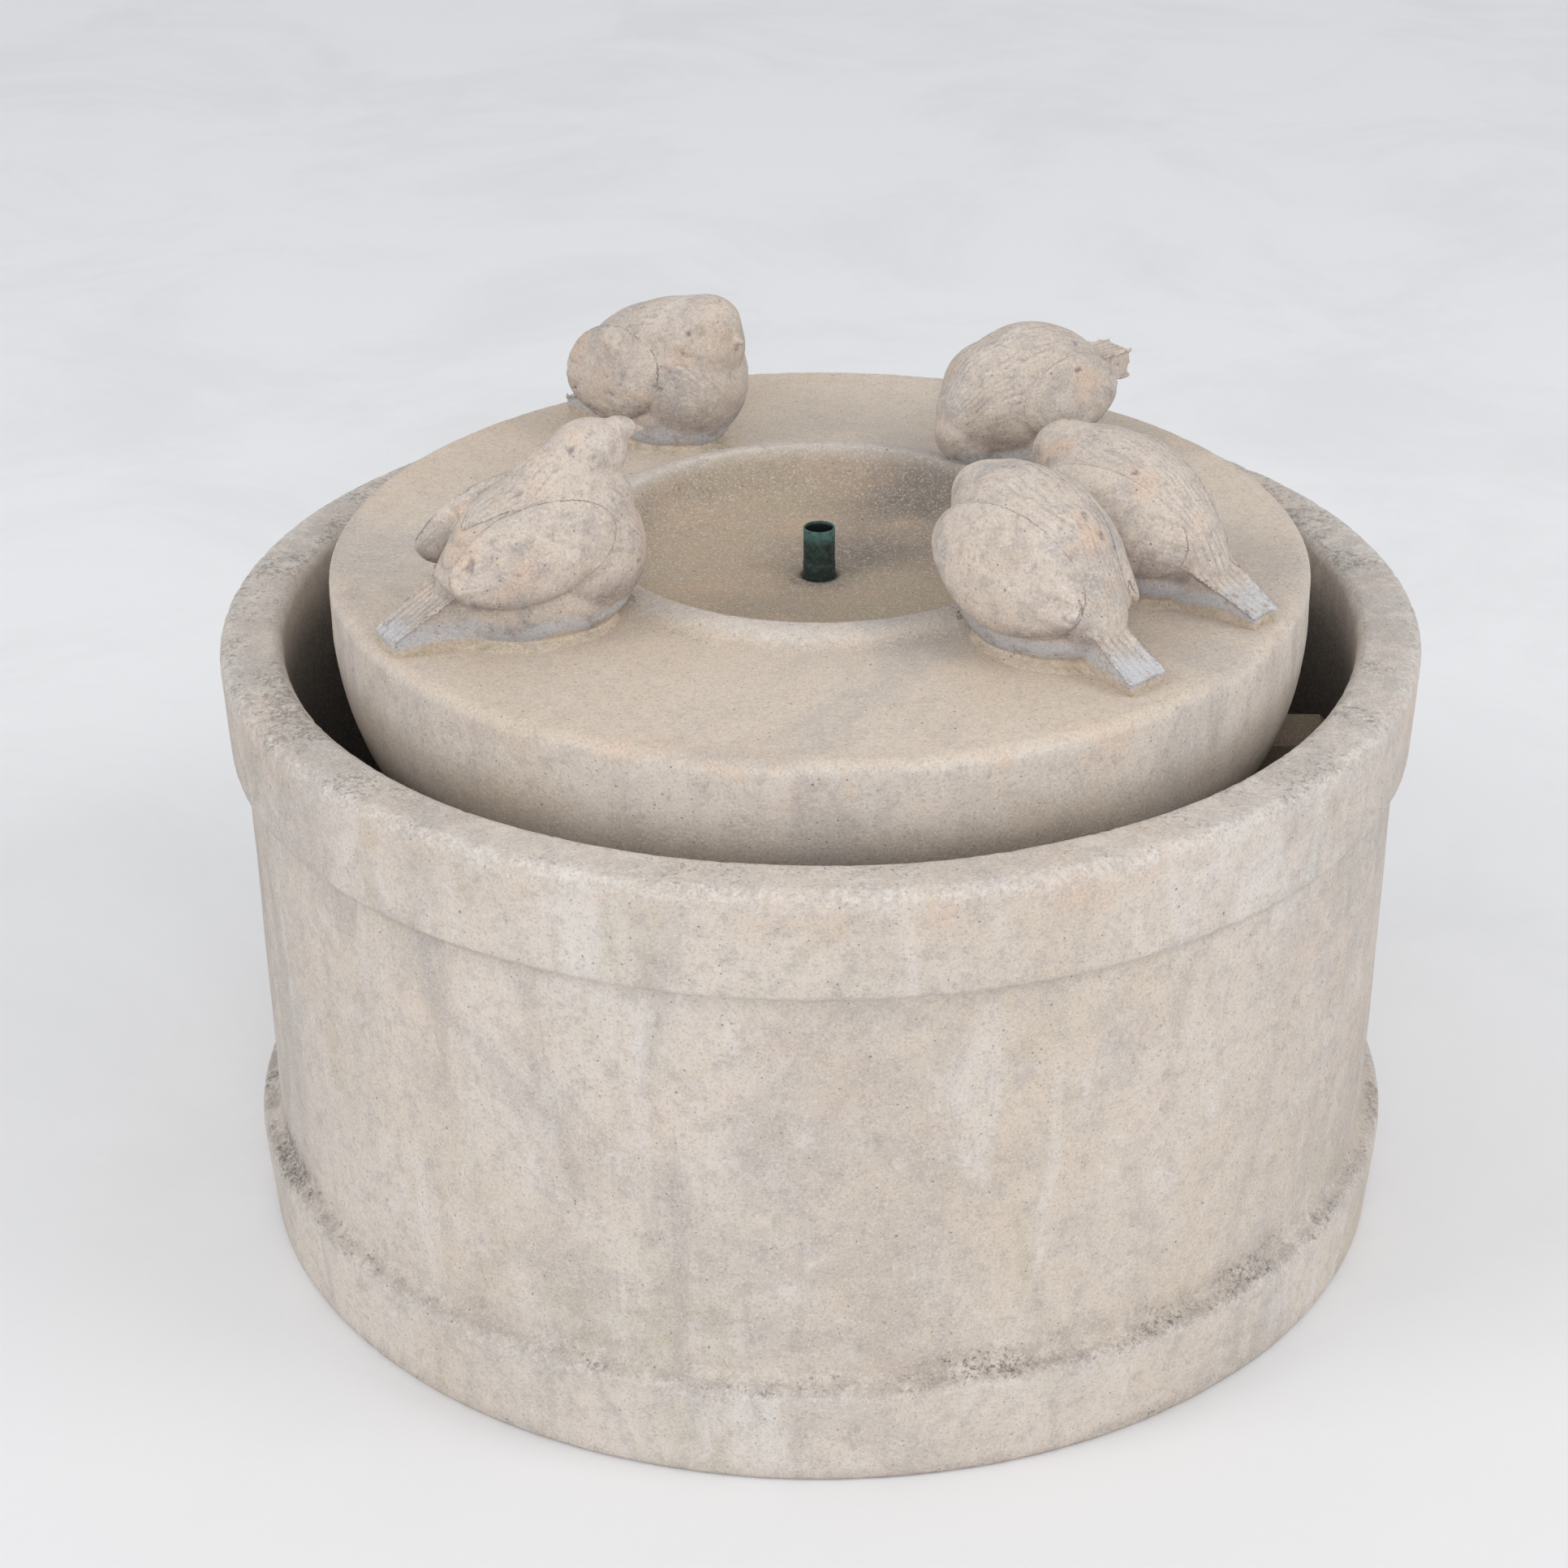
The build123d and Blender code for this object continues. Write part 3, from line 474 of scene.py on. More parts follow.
def bird_finish(stone):
    finish = Finish("weathered_bird_stone", stone.bird)
    stone_ground(finish, stone, shift=4.0, warm=0.35, cool=0.95, cloud=3.4)
    mottle = finish.noise(130.0, 7.0, 0.78, shift=(8.0, 1.0, 3.0))
    finish.coat(finish.band(mottle, 0.48, 0.70, 0.0, 0.50), stone.plum_and_shade)
    flush = finish.noise(20.0, 5.0, 0.62, shift=(6.0, 2.0, 9.0))
    flush = finish.times(finish.band(flush, 0.48, 0.68), finish.mask("flush"))
    finish.coat(finish.times(flush, 0.62), stone.blush)
    wander = finish.noise(55.0, 4.0, 0.6)
    feather = finish.node("ShaderNodeMath", operation="SINE")
    finish.join(feather.inputs[0], finish.plus(finish.mask("barb"), finish.times(wander, 9.0)))
    broken = finish.noise(110.0, 5.0, 0.75, shift=(4.0, 8.0, 2.0))
    plume = finish.masked("plume", broken, 0.40, 0.60, 0.25, 1.0)
    ridge = finish.times(feather.outputs["Value"], plume)
    finish.coat(finish.band(ridge, -0.2, -1.0, 0.0, 0.42), stone.grime_and_shade)
    finish.coat(finish.band(ridge, 0.2, 1.0, 0.0, 0.25), stone.white)
    # Darker tail and wing-tip grooves, painted shadow under the wing's lower edge and painted shade in
    # the eye sockets.
    groove = finish.masked("groove", broken, 0.32, 0.55, 0.45, 1.0)
    finish.coat(finish.times(groove, 0.62), stone.grime_and_shade)
    shade = finish.noise(90.0, 7.0, 0.75, shift=(2.0, 2.0, 6.0))
    # Painted shade on the birds' undersides, plus real pits, in a purplish grey.
    finish.coat(finish.masked("under", shade, 0.34, 0.58, 0.35, 0.9), stone.plum_and_shade)
    bloom = finish.noise(75.0, 7.0, 0.75, shift=(3.0, 3.0, 3.0))
    foot = finish.mask("foot")
    finish.coat(finish.times(foot, finish.band(bloom, 0.36, 0.56, 0.30, 0.85)), stone.lime)
    finish.coat(finish.times(foot, finish.band(bloom, 0.46, 0.34, 0.0, 0.75)), stone.plum_and_shade)
    bed = finish.mask("bed")
    finish.coat(finish.times(bed, 0.85), stone.warm)
    finish.coat(finish.times(bed, finish.band(shade, 0.44, 0.62, 0.0, 0.7)), stone.moss)
    relief = stone_grain(finish, stone, 0.60)
    relief = finish.plus(relief, finish.times(ridge, 0.34))
    knobs = finish.noise(150.0, 5.0, 0.66)
    relief = finish.plus(relief, finish.times(knobs, finish.times(finish.mask("coarse"), 3.0)))
    relief = finish.plus(relief, finish.times(broken, 0.8))
    return finish.close(finish.band(relief, 0.0, 1.6, 0.96, 0.84),
                        finish.bump(relief, 0.8 * MM, 0.85))


def pier_finish(stone):
    finish = Finish("pier_stone", stone.wet_and_shade)
    stone_ground(finish, stone, shift=7.0)
    relief = stone_grain(finish, stone)
    return finish.close(0.9, finish.bump(relief, 0.9 * MM, 0.8))


# ---------------------------------------------------------------- basin
def top_and_ground(sizes):
    """Radii that the basin's outline shares."""
    rim = BASIN_HIGH.x
    wall_top = rim - sizes.band_step
    wall_foot = wall_top - sizes.wall_draft
    return rim, wall_top, wall_foot, wall_foot + sizes.foot_step


def basin_line(sizes):
    rim, wall_top, wall_foot, foot = top_and_ground(sizes)
    top = BASIN_HIGH.z
    band = top - sizes.band_height
    well = wall_foot - sizes.wall_thickness
    return [
        (0.0, 0.0, 0.0),
        (foot - sizes.foot_draft, 0.0, 4 * MM),
        (foot, sizes.foot_height, 6 * MM),
        (wall_foot, sizes.foot_height + 5 * MM, 6 * MM),
        (wall_top, band - 1 * MM, 3 * MM),
        (rim - 3 * MM, band, 4 * MM),
        (rim, top, 9 * MM),
        (rim - sizes.rim_width, top, 9 * MM),
        (well, sizes.floor_thickness, 34 * MM),
        (0.0, sizes.floor_thickness, 0.0),
    ]


def basin_step(sizes):
    """How fine the basin's mesh is along its outline."""
    top = BASIN_HIGH.z
    inside = BASIN_HIGH.x - sizes.rim_width - 2 * MM
    band = top - sizes.band_height

    def step(point):
        radius, height = point.x, point.z
        if radius < inside:
            return 55 * MM if height < 1 * MM else (30 * MM if radius < 300 * MM else 15 * MM)
        if height > top - 10 * MM:
            return 2.2 * MM
        if abs(height - band) < 4 * MM or abs(height - sizes.foot_height) < 9 * MM:
            return 2.2 * MM
        return 6.0 * MM if height > sizes.foot_height else 4.5 * MM

    return step


def weather(piece, depth, edges):
    """Wears the surface back unevenly, most along the named (radius, height, reach, depth) edges."""
    mesh = piece.data
    points, normals = points_of(mesh), normals_of(mesh)
    radius = np.hypot(points[:, 0], points[:, 1])
    height = points[:, 2]
    broad = noise_at(points, 9.0, 3.0)
    middle = noise_at(points, 45.0, 9.0)
    fine = noise_at(points, 150.0, 5.0)
    shift = broad * depth + middle * depth * 0.35
    for edge_radius, edge_height, reach, bite in edges:
        close = near(np.hypot(radius - edge_radius, height - edge_height), 0.0, reach)
        chips = np.clip(middle * 0.9 + fine * 0.8 - 0.12, 0.0, 1.0)
        shift = shift - close * bite * (chips + 0.25 * np.abs(fine))
    move_points(mesh, points + normals * shift[:, None])


class FOUNTAIN_OT_basin(bpy.types.Operator):
    """Makes the weathered basin with its drain hole and channel"""
    bl_idname = "fountain.basin"
    bl_label = "Basin"

    def execute(self, context):
        sizes = context.scene.fountain_basin
        bm = bmesh.new()
        rounded_line(bm, basin_line(sizes), basin_step(sizes))
        spin_line(bm, BASIN_STEPS)
        piece = new_piece("stone_basin", bm)
        rim, _, _, foot = top_and_ground(sizes)
        top = BASIN_HIGH.z
        band = top - sizes.band_height
        weather(piece, 0.7 * MM, [
            (rim, top, 9 * MM, 3.4 * MM),
            (rim - sizes.rim_width, top, 7 * MM, 1.6 * MM),
            (rim, band, 6 * MM, 2.2 * MM),
            (foot, sizes.foot_height, 8 * MM, 3.0 * MM),
        ])
        self.drain(piece, sizes)
        self.paint_masks(piece.data, sizes)
        finish_piece(piece, "basin", "basin_stone", basin_finish(context.scene.fountain_stone),
                     "basin")
        return {"FINISHED"}

    def drain(self, piece, sizes):
        middle = (STOPPER_LOW + STOPPER_HIGH) / 2
        hole = bmesh.new()
        bmesh.ops.create_cone(hole, cap_ends=True, segments=64, radius1=sizes.drain_radius,
                              radius2=sizes.drain_radius, depth=200 * MM,
                              matrix=Matrix.Translation((middle.x, middle.y, 0)))
        cut_with(piece, hole)
        channel = bmesh.new()
        run = 300 * MM
        size = Matrix.Diagonal((sizes.channel_width, run, sizes.channel_height * 2, 1.0))
        bmesh.ops.create_cube(channel, size=1.0,
                              matrix=Matrix.Translation((middle.x, middle.y + run / 2, 0)) @ size)
        cut_with(piece, channel)

    def paint_masks(self, mesh, sizes):
        points = points_of(mesh)
        rim, _, _, foot = top_and_ground(sizes)
        radius = np.hypot(points[:, 0], points[:, 1])
        height = points[:, 2]
        top = BASIN_HIGH.z
        band = top - sizes.band_height
        outside = radius > rim - sizes.rim_width + 4 * MM
        turn = np.arctan2(points[:, 1], points[:, 0])
        cloud = noise_at(points, 6.0, 21.0) * 0.5 + 0.5
        # Painted shade: the wall's left and right sides, seen from the front, are greyed as if the
        # front light fell off there.
        shaded_sides = near(np.abs(np.cos(turn)), 1.0, 0.30)
        damp_and_side_shade = shaded_sides * cloud * smooth(height, foot * 0.1, foot * 0.35) * outside
        damp_and_side_shade = damp_and_side_shade + 0.55 * near(height, top, 5 * MM) + 0.8 * near(height, sizes.foot_height, 6 * MM)
        inner = (radius < rim - sizes.rim_width + 1 * MM) & (height > sizes.floor_thickness - 1 * MM)
        paint(mesh, "damp_and_side_shade", np.clip(damp_and_side_shade, 0, 1))
        # The inside mask is painted shade on the inner wall, from just under the rim down to the floor.
        paint(mesh, "inside", inner * smooth(height, top - 8 * MM, top - 60 * MM))
        rust = 0.9 * near(height, top - 14 * MM, 16 * MM) * outside
        rust = rust + 0.5 * smooth(height, band, band - 60 * MM) * near(height, band - 60 * MM, 90 * MM)
        paint(mesh, "rust", np.clip(rust, 0, 1))
        worn = near(np.hypot(radius - rim, height - top), 0.0, 12 * MM)
        worn = worn + 0.6 * near(np.hypot(radius - foot, height - sizes.foot_height), 0.0, 9 * MM)
        paint(mesh, "worn", np.clip(worn, 0, 1))
        uneven = height + noise_at(points, 14.0, 41.0) * 14 * MM
        ledge = smooth(height, sizes.foot_height - 5 * MM, sizes.foot_height + 2 * MM)
        ledge = ledge * smooth(uneven, sizes.foot_height + 30 * MM, sizes.foot_height + 4 * MM)
        skirt = 0.8 * smooth(uneven, 16 * MM, 0.0)
        around = 0.45 + 0.55 * smooth(noise_at(points, 3.0, 51.0), -0.35, 0.35)
        # Painted shade just under the rim band's step.
        step = 0.4 * near(height, band - 2 * MM, 3 * MM)
        # Grime on the foot's ledge, a band darker towards the ground, and painted shade under the rim
        # band's step.
        grime_and_shade = (ledge * around + skirt * around + step) * outside
        paint(mesh, "lichen_and_shade", np.clip(grime_and_shade, 0, 1))


# ---------------------------------------------------------------- upper bowl
def bowl_flat(sizes):
    """Height of the flat top."""
    return BOWL_HIGH.z - sizes.lip_height


def bowl_line(sizes):
    flat = bowl_flat(sizes)
    floor = flat - sizes.dish_depth
    side = BOWL_HIGH.x
    base = BOWL_LOW.z
    hole = RISER_HIGH.x + sizes.hole_gap
    inner = sizes.dish_radius
    lip = BOWL_HIGH.z
    seat = BUSH_HIGH.x - 8 * MM
    ceiling = BUSH_LOW.z + 4 * MM
    return [
        (hole, floor, 1.5 * MM),
        (inner * 0.5, floor + 1.5 * MM, 20 * MM),
        (inner * 0.86, floor + 8 * MM, 14 * MM),
        (inner - 2 * MM, flat + 3 * MM, 5 * MM),
        (inner + 2 * MM, lip, 2.5 * MM),
        (inner + sizes.lip_width * 0.62, lip - 1 * MM, 7 * MM),
        (inner + sizes.lip_width, flat + 0.5 * MM, 7 * MM),
        (side, flat, 9 * MM),
        (side, flat - sizes.side_height, 26 * MM),
        (side - sizes.belly_in, base + 22 * MM, 9 * MM),
        (side - sizes.base_in, base, 3 * MM),
        (sizes.recess_radius, base, 2 * MM),
        (sizes.recess_radius - 16 * MM, ceiling, 20 * MM),
        (seat, ceiling, 1 * MM),
        (seat, BUSH_HIGH.z, 1 * MM),
        (hole, BUSH_HIGH.z, 1 * MM),
    ]


def bowl_step(sizes):
    flat = bowl_flat(sizes)

    def step(point):
        radius, height = point.x, point.z
        if height < BOWL_LOW.z + 2 * MM or (radius < sizes.recess_radius + 1 * MM
                                            and height < BUSH_HIGH.z + 2 * MM):
            return 14 * MM
        if abs(radius - BOWL_HIGH.x) < 10 * MM and height > flat - 10 * MM:
            return 2.0 * MM
        if sizes.dish_radius - 8 * MM < radius < sizes.dish_radius + sizes.lip_width + 4 * MM:
            return 2.0 * MM
        return 5.0 * MM

    return step


class FOUNTAIN_OT_bowl(bpy.types.Operator):
    """Makes the upper bowl with its dish, lip and the hollow underneath"""
    bl_idname = "fountain.bowl"
    bl_label = "Upper Bowl"

    def execute(self, context):
        sizes = context.scene.fountain_bowl
        bm = bmesh.new()
        rounded_line(bm, bowl_line(sizes), bowl_step(sizes))
        spin_line(bm, BOWL_STEPS)
        piece = new_piece("stone_upper_bowl", bm)
        flat = bowl_flat(sizes)
        weather(piece, 0.55 * MM, [
            (BOWL_HIGH.x, flat, 7 * MM, 1.5 * MM),
            (sizes.dish_radius + 3 * MM, BOWL_HIGH.z, 6 * MM, 1.3 * MM),
            (BOWL_HIGH.x - sizes.base_in, BOWL_LOW.z, 9 * MM, 2.4 * MM),
        ])
        self.paint_masks(piece.data, sizes)
        finish_piece(piece, "bowl", "bowl_stone", bowl_finish(context.scene.fountain_stone),
                     "upper_bowl")
        return {"FINISHED"}

    def paint_masks(self, mesh, sizes):
        points = points_of(mesh)
        radius = np.hypot(points[:, 0], points[:, 1])
        height = points[:, 2]
        flat = bowl_flat(sizes)
        outer_lip = sizes.dish_radius + sizes.lip_width
        above = smooth(height, flat - 60 * MM, flat - 30 * MM)
        cloud = noise_at(points, 8.0, 31.0) * 0.5 + 0.5
        dish = smooth(radius, sizes.dish_radius + 4 * MM, sizes.dish_radius - 6 * MM) * above
        paint(mesh, "dish", np.clip(dish, 0, 1))
        paint(mesh, "lip", near(radius, sizes.dish_radius + 8 * MM, 12 * MM) * above)
        # The top mask is partly a real stain and partly painted shade on the flat top.
        on_top = smooth(height, flat - 8 * MM, flat - 1 * MM)
        paint(mesh, "top", on_top * smooth(radius, outer_lip - 8 * MM, outer_lip))
        side = smooth(radius, BOWL_HIGH.x - 22 * MM, BOWL_HIGH.x - 3 * MM)
        paint(mesh, "side", side * (1 - on_top))
        # Painted shade on the lower side and underside of the bowl.
        paint(mesh, "low_side", (1 - on_top) * (1 - above) * (radius > sizes.dish_radius))
        front = near(np.arctan2(points[:, 0], -points[:, 1]), 0.12, 0.42)
        rust = near(np.hypot(radius - BOWL_HIGH.x, height - flat), 0.0, 26 * MM) * (0.25 + front)
        paint(mesh, "rust", np.clip(rust + 0.35 * dish, 0, 1))
        # Painted shadow of the two right-hand birds on the dish, in two lobes, with some damp staining.
        far = near(points[:, 0], 76 * MM, 54 * MM) * near(points[:, 1], 106 * MM, 30 * MM)
        close = near(points[:, 0], 32 * MM, 56 * MM) * near(points[:, 1], 40 * MM, 28 * MM)
        paint(mesh, "stain_and_shadow", np.clip((far + 0.8 * close) * dish * (0.7 + 0.9 * cloud), 0, 1))
        # Painted shade in the groove at the lip's outer foot, in the dish's corner under the lip, round
        # the riser and low on the side; real grime in the dish.
        groove = near(radius, outer_lip + 1 * MM, 6 * MM) * on_top
        corner = near(radius, sizes.dish_radius - 12 * MM, 12 * MM) * above
        hole = near(radius, RISER_HIGH.x + 4 * MM, 12 * MM) * above
        base = smooth(height, BOWL_LOW.z + 60 * MM, BOWL_LOW.z) * side
        grime_and_shade = 0.45 * groove + 0.5 * corner + hole + 0.8 * base + 0.5 * dish * cloud
        paint(mesh, "lichen_and_shade", np.clip(grime_and_shade, 0, 1))


# ---------------------------------------------------------------- birds
# Every bird is modelled in millimetres, facing +X, with +Y to its left and the bowl's flat top at
# height 0. A lump is (middle, half sizes, turns about Z, Y and X in degrees, how pointed its back
# end is). The wings are one such lump on each side, given for the left side.
BIRDS = {
    "bird_front_left": dict(
        heading=24.0, lumps=(
            ((-4, 0, 58), (76, 46, 44), (0, -27, 0), 0.58),
            ((27, 0, 50), (46, 45, 47), (0, 0, 0), 0.0),
            ((35, 0, 88), (27, 26, 38), (0, -8, 0), 0.0),
            ((38, 0, 115), (26, 22, 21), (0, 4, 0), 0.0),
            ((60, 0, 127), (12, 8, 8), (0, 15, 0), 0.0),
            ((14, 0, 90), (40, 30, 30), (0, -42, 0), 0.0),
            ((2, 0, 24), (64, 41, 36), (0, -4, 0), 0.2)),
        wings=((-14, 34, 66), (58, 13, 30), (0, -13, 14), 0.30),
        tail_from=(-34, 0, 56), tail_to=(-107, 0, 9), tail_width=(46, 26), tail_tip=9.0,
        beak=(67, 0, 125), beak_tilt=-10.0, eye=(50, 19, 120), bed=(-5, 70, 48), coarse=0.15),
    "bird_back_left": dict(
        heading=-35.0, lumps=(
            ((-2, 0, 54), (60, 45, 44), (0, -8, 0), 0.15),
            ((28, 0, 48), (42, 43, 46), (0, 0, 0), 0.0),
            ((34, 0, 76), (37, 33, 35), (0, -12, 0), 0.0),
            ((42, 0, 91), (27, 26, 22), (0, 0, 0), 0.0),
            ((-54, 0, 57), (14, 28, 12), (0, 0, 0), 0.0),
            ((2, 0, 78), (48, 36, 24), (0, -24, 0), 0.0),
            ((2, 0, 24), (58, 42, 36), (0, 0, 0), 0.1)),
        wings=((-14, 33, 54), (46, 13, 34), (3, -6, 10), 0.05),
        tail_from=(-44, 0, 24), tail_to=(-76, 0, 15), tail_width=(34, 26), tail_tip=14.0,
        beak=(68, 0, 85), beak_tilt=0.0, eye=(54, 21, 94), bed=(4, 68, 50), coarse=1.0),
    "bird_back_right": dict(
        heading=216.0, lumps=(
            ((4, 0, 54), (62, 45, 44), (0, 8, 0), 0.30),
            ((30, 0, 50), (40, 42, 42), (0, 0, 0), 0.0),
            ((50, 0, 42), (28, 27, 32), (0, 30, 0), 0.0),
            ((60, 0, 28), (20, 21, 25), (0, 40, 0), 0.0),
            ((8, 0, 22), (48, 37, 34), (0, 0, 0), 0.1)),
        wings=((-6, 33, 54), (46, 14, 28), (4, 4, 12), 0.05),
        tail_from=(-40, 0, 66), tail_to=(-81, 0, 64), tail_width=(34, 24), tail_tip=19.0,
        beak=(62, 0, 6), beak_tilt=-76.0, eye=(68, 17, 30), bed=(8, 56, 44), coarse=0.45),
    "bird_right": dict(
        heading=136.0, lumps=(
            ((-4, 0, 50), (80, 47, 43), (0, -20, 0), 0.50),
            ((26, 0, 46), (44, 44, 42), (0, 0, 0), 0.0),
            ((46, 0, 66), (31, 28, 31), (0, -10, 0), 0.0),
            ((56, 0, 75), (26, 23, 21), (0, 6, 0), 0.0),
            ((10, 0, 66), (48, 34, 28), (0, -14, 0), 0.0),
            ((0, 0, 22), (68, 41, 34), (0, -4, 0), 0.2)),
        wings=((-8, 33, 54), (58, 13, 32), (13, -15, 16), 0.55),
        tail_from=(-42, 0, 40), tail_to=(-110, 0, 10), tail_width=(44, 22), tail_tip=10.0,
        beak=(79, 0, 66), beak_tilt=-16.0, eye=(68, 19, 76), bed=(-2, 76, 48), coarse=0.3),
    "bird_front_right": dict(
        heading=131.0, lumps=(
            ((-4, 0, 56), (76, 50, 47), (0, -30, 0), 0.42),
            ((24, 0, 48), (46, 47, 45), (0, 0, 0), 0.0),
            ((38, 0, 76), (33, 29, 33), (0, -12, 0), 0.0),
            ((46, 0, 84), (27, 24, 23), (0, 6, 0), 0.0),
            ((8, 0, 78), (44, 36, 30), (0, -24, 0), 0.0),
            ((0, 0, 24), (64, 44, 36), (0, -4, 0), 0.15)),
        wings=((-8, 36, 60), (58, 14, 37), (12, -20, 18), 0.50),
        tail_from=(-48, 0, 34), tail_to=(-101, 5, 10), tail_width=(24, 28), tail_tip=9.0,
        beak=(69, 0, 80), beak_tilt=-14.0, eye=(58, 20, 88), bed=(-9, 66, 50), coarse=0.15),
}


def turned_place(middle, turns):
    yaw, pitch, roll = (math.radians(turn) for turn in turns)
    return (Matrix.Translation(middle) @ Matrix.Rotation(yaw, 4, "Z")
            @ Matrix.Rotation(pitch, 4, "Y") @ Matrix.Rotation(roll, 4, "X"))


def lump(bm, middle, half, turns, pointed=0.0):
    """A rounded lump whose back end narrows by the share pointed."""
    made = bmesh.ops.create_uvsphere(bm, u_segments=48, v_segments=32, radius=1.0)["verts"]
    for vert in made:
        back = max(0.0, -vert.co.x)
        narrow = 1.0 - pointed * back * back
        vert.co.y *= narrow
        vert.co.z *= narrow
    size = Matrix.Diagonal((*half, 1.0))
    bmesh.ops.transform(bm, matrix=turned_place(middle, turns) @ size, verts=made)


def wedge(bm, start, end, width, tip):
    """A tail from one point to another. A low tail is solid down to the bowl, a raised one isn't."""
    made = bmesh.ops.create_cube(bm, size=1.0)["verts"]
    start, end = Vector(start), Vector(end)
    low = end.z < 30
    for vert in made:
        far = vert.co.x + 0.5
        wide = width[0] + (width[1] - width[0]) * far
        under = vert.co.z < 0
        vert.co = start.lerp(end, far) + Vector((0, vert.co.y * wide, 0))
        if under:
            vert.co.z = -6.0 if low else vert.co.z - tip
            vert.co.y *= 0.86
    edges = list({edge for vert in made for edge in vert.link_edges})
    bmesh.ops.bevel(bm, geom=edges, offset=3.5, offset_type="OFFSET", segments=3, profile=0.5,
                    affect="EDGES", material=-1, clamp_overlap=True)


def remeshed(piece, size, rounds):
    """Joins the piece's overlapping lumps into one skin and smooths it."""
    remesh = piece.modifiers.new("skin", "REMESH")
    remesh.mode = "VOXEL"
    remesh.voxel_size = size
    blend = piece.modifiers.new("blend", "SMOOTH")
    blend.factor = 0.5
    blend.iterations = rounds
    bake_modifiers(piece)


def bird_body(name, bird):
    """The blended body first, then the wings, tail and beak with crisper edges."""
    bm = bmesh.new()
    for part in bird["lumps"]:
        lump(bm, *part)
    body = new_piece("stone_" + name, bm)
    remeshed(body, 1.6, 12)
    bm = bmesh.new()
    bm.from_mesh(body.data)
    beak = turned_place(bird["beak"], (0, -bird["beak_tilt"], 0))
    cone = bmesh.ops.create_cone(bm, cap_ends=True, segments=20, radius1=8.0, radius2=2.4,
                                 depth=17.0)["verts"]
    flat = Matrix.Diagonal((1.0, 0.8, 0.62, 1.0))
    bmesh.ops.transform(bm, matrix=beak @ flat @ Matrix.Rotation(math.pi / 2, 4, "Y"), verts=cone)
    (forward, out, rise), half, (yaw, pitch, roll), pointed = bird["wings"]
    for side in (-1, 1):
        lump(bm, (forward, side * out, rise), half, (side * yaw, pitch, side * roll), pointed)
    wedge(bm, bird["tail_from"], bird["tail_to"], bird["tail_width"], bird["tail_tip"])
    bed_middle, bed_long, bed_wide = bird["bed"]
    lump(bm, (bed_middle, 0, -7), (bed_long, bed_wide, 15), (0, 0, 0), 0.2)
    bm.to_mesh(body.data)
    bm.free()
    remeshed(body, 1.2, 3)
    return body


def bowl_height(radius):
    """Height of the bowl's upper surface at each distance from the axis."""
    sizes = bpy.context.scene.fountain_bowl
    corners = bowl_line(sizes)[:8]
    return np.interp(radius, [corner[0] for corner in corners], [corner[1] for corner in corners])


def wing_place(points, bird, side):
    """How far each point is along and up the wing, from -1 to 1 at its outline."""
    (forward, out, rise), half, (yaw, pitch, roll), _ = bird["wings"]
    place = turned_place((forward, side * out, rise), (side * yaw, pitch, side * roll))
    matrix = np.array(place.inverted())
    local = points @ matrix[:3, :3].T + matrix[:3, 3]
    return local[:, 0] / half[0], local[:, 2] / half[2]


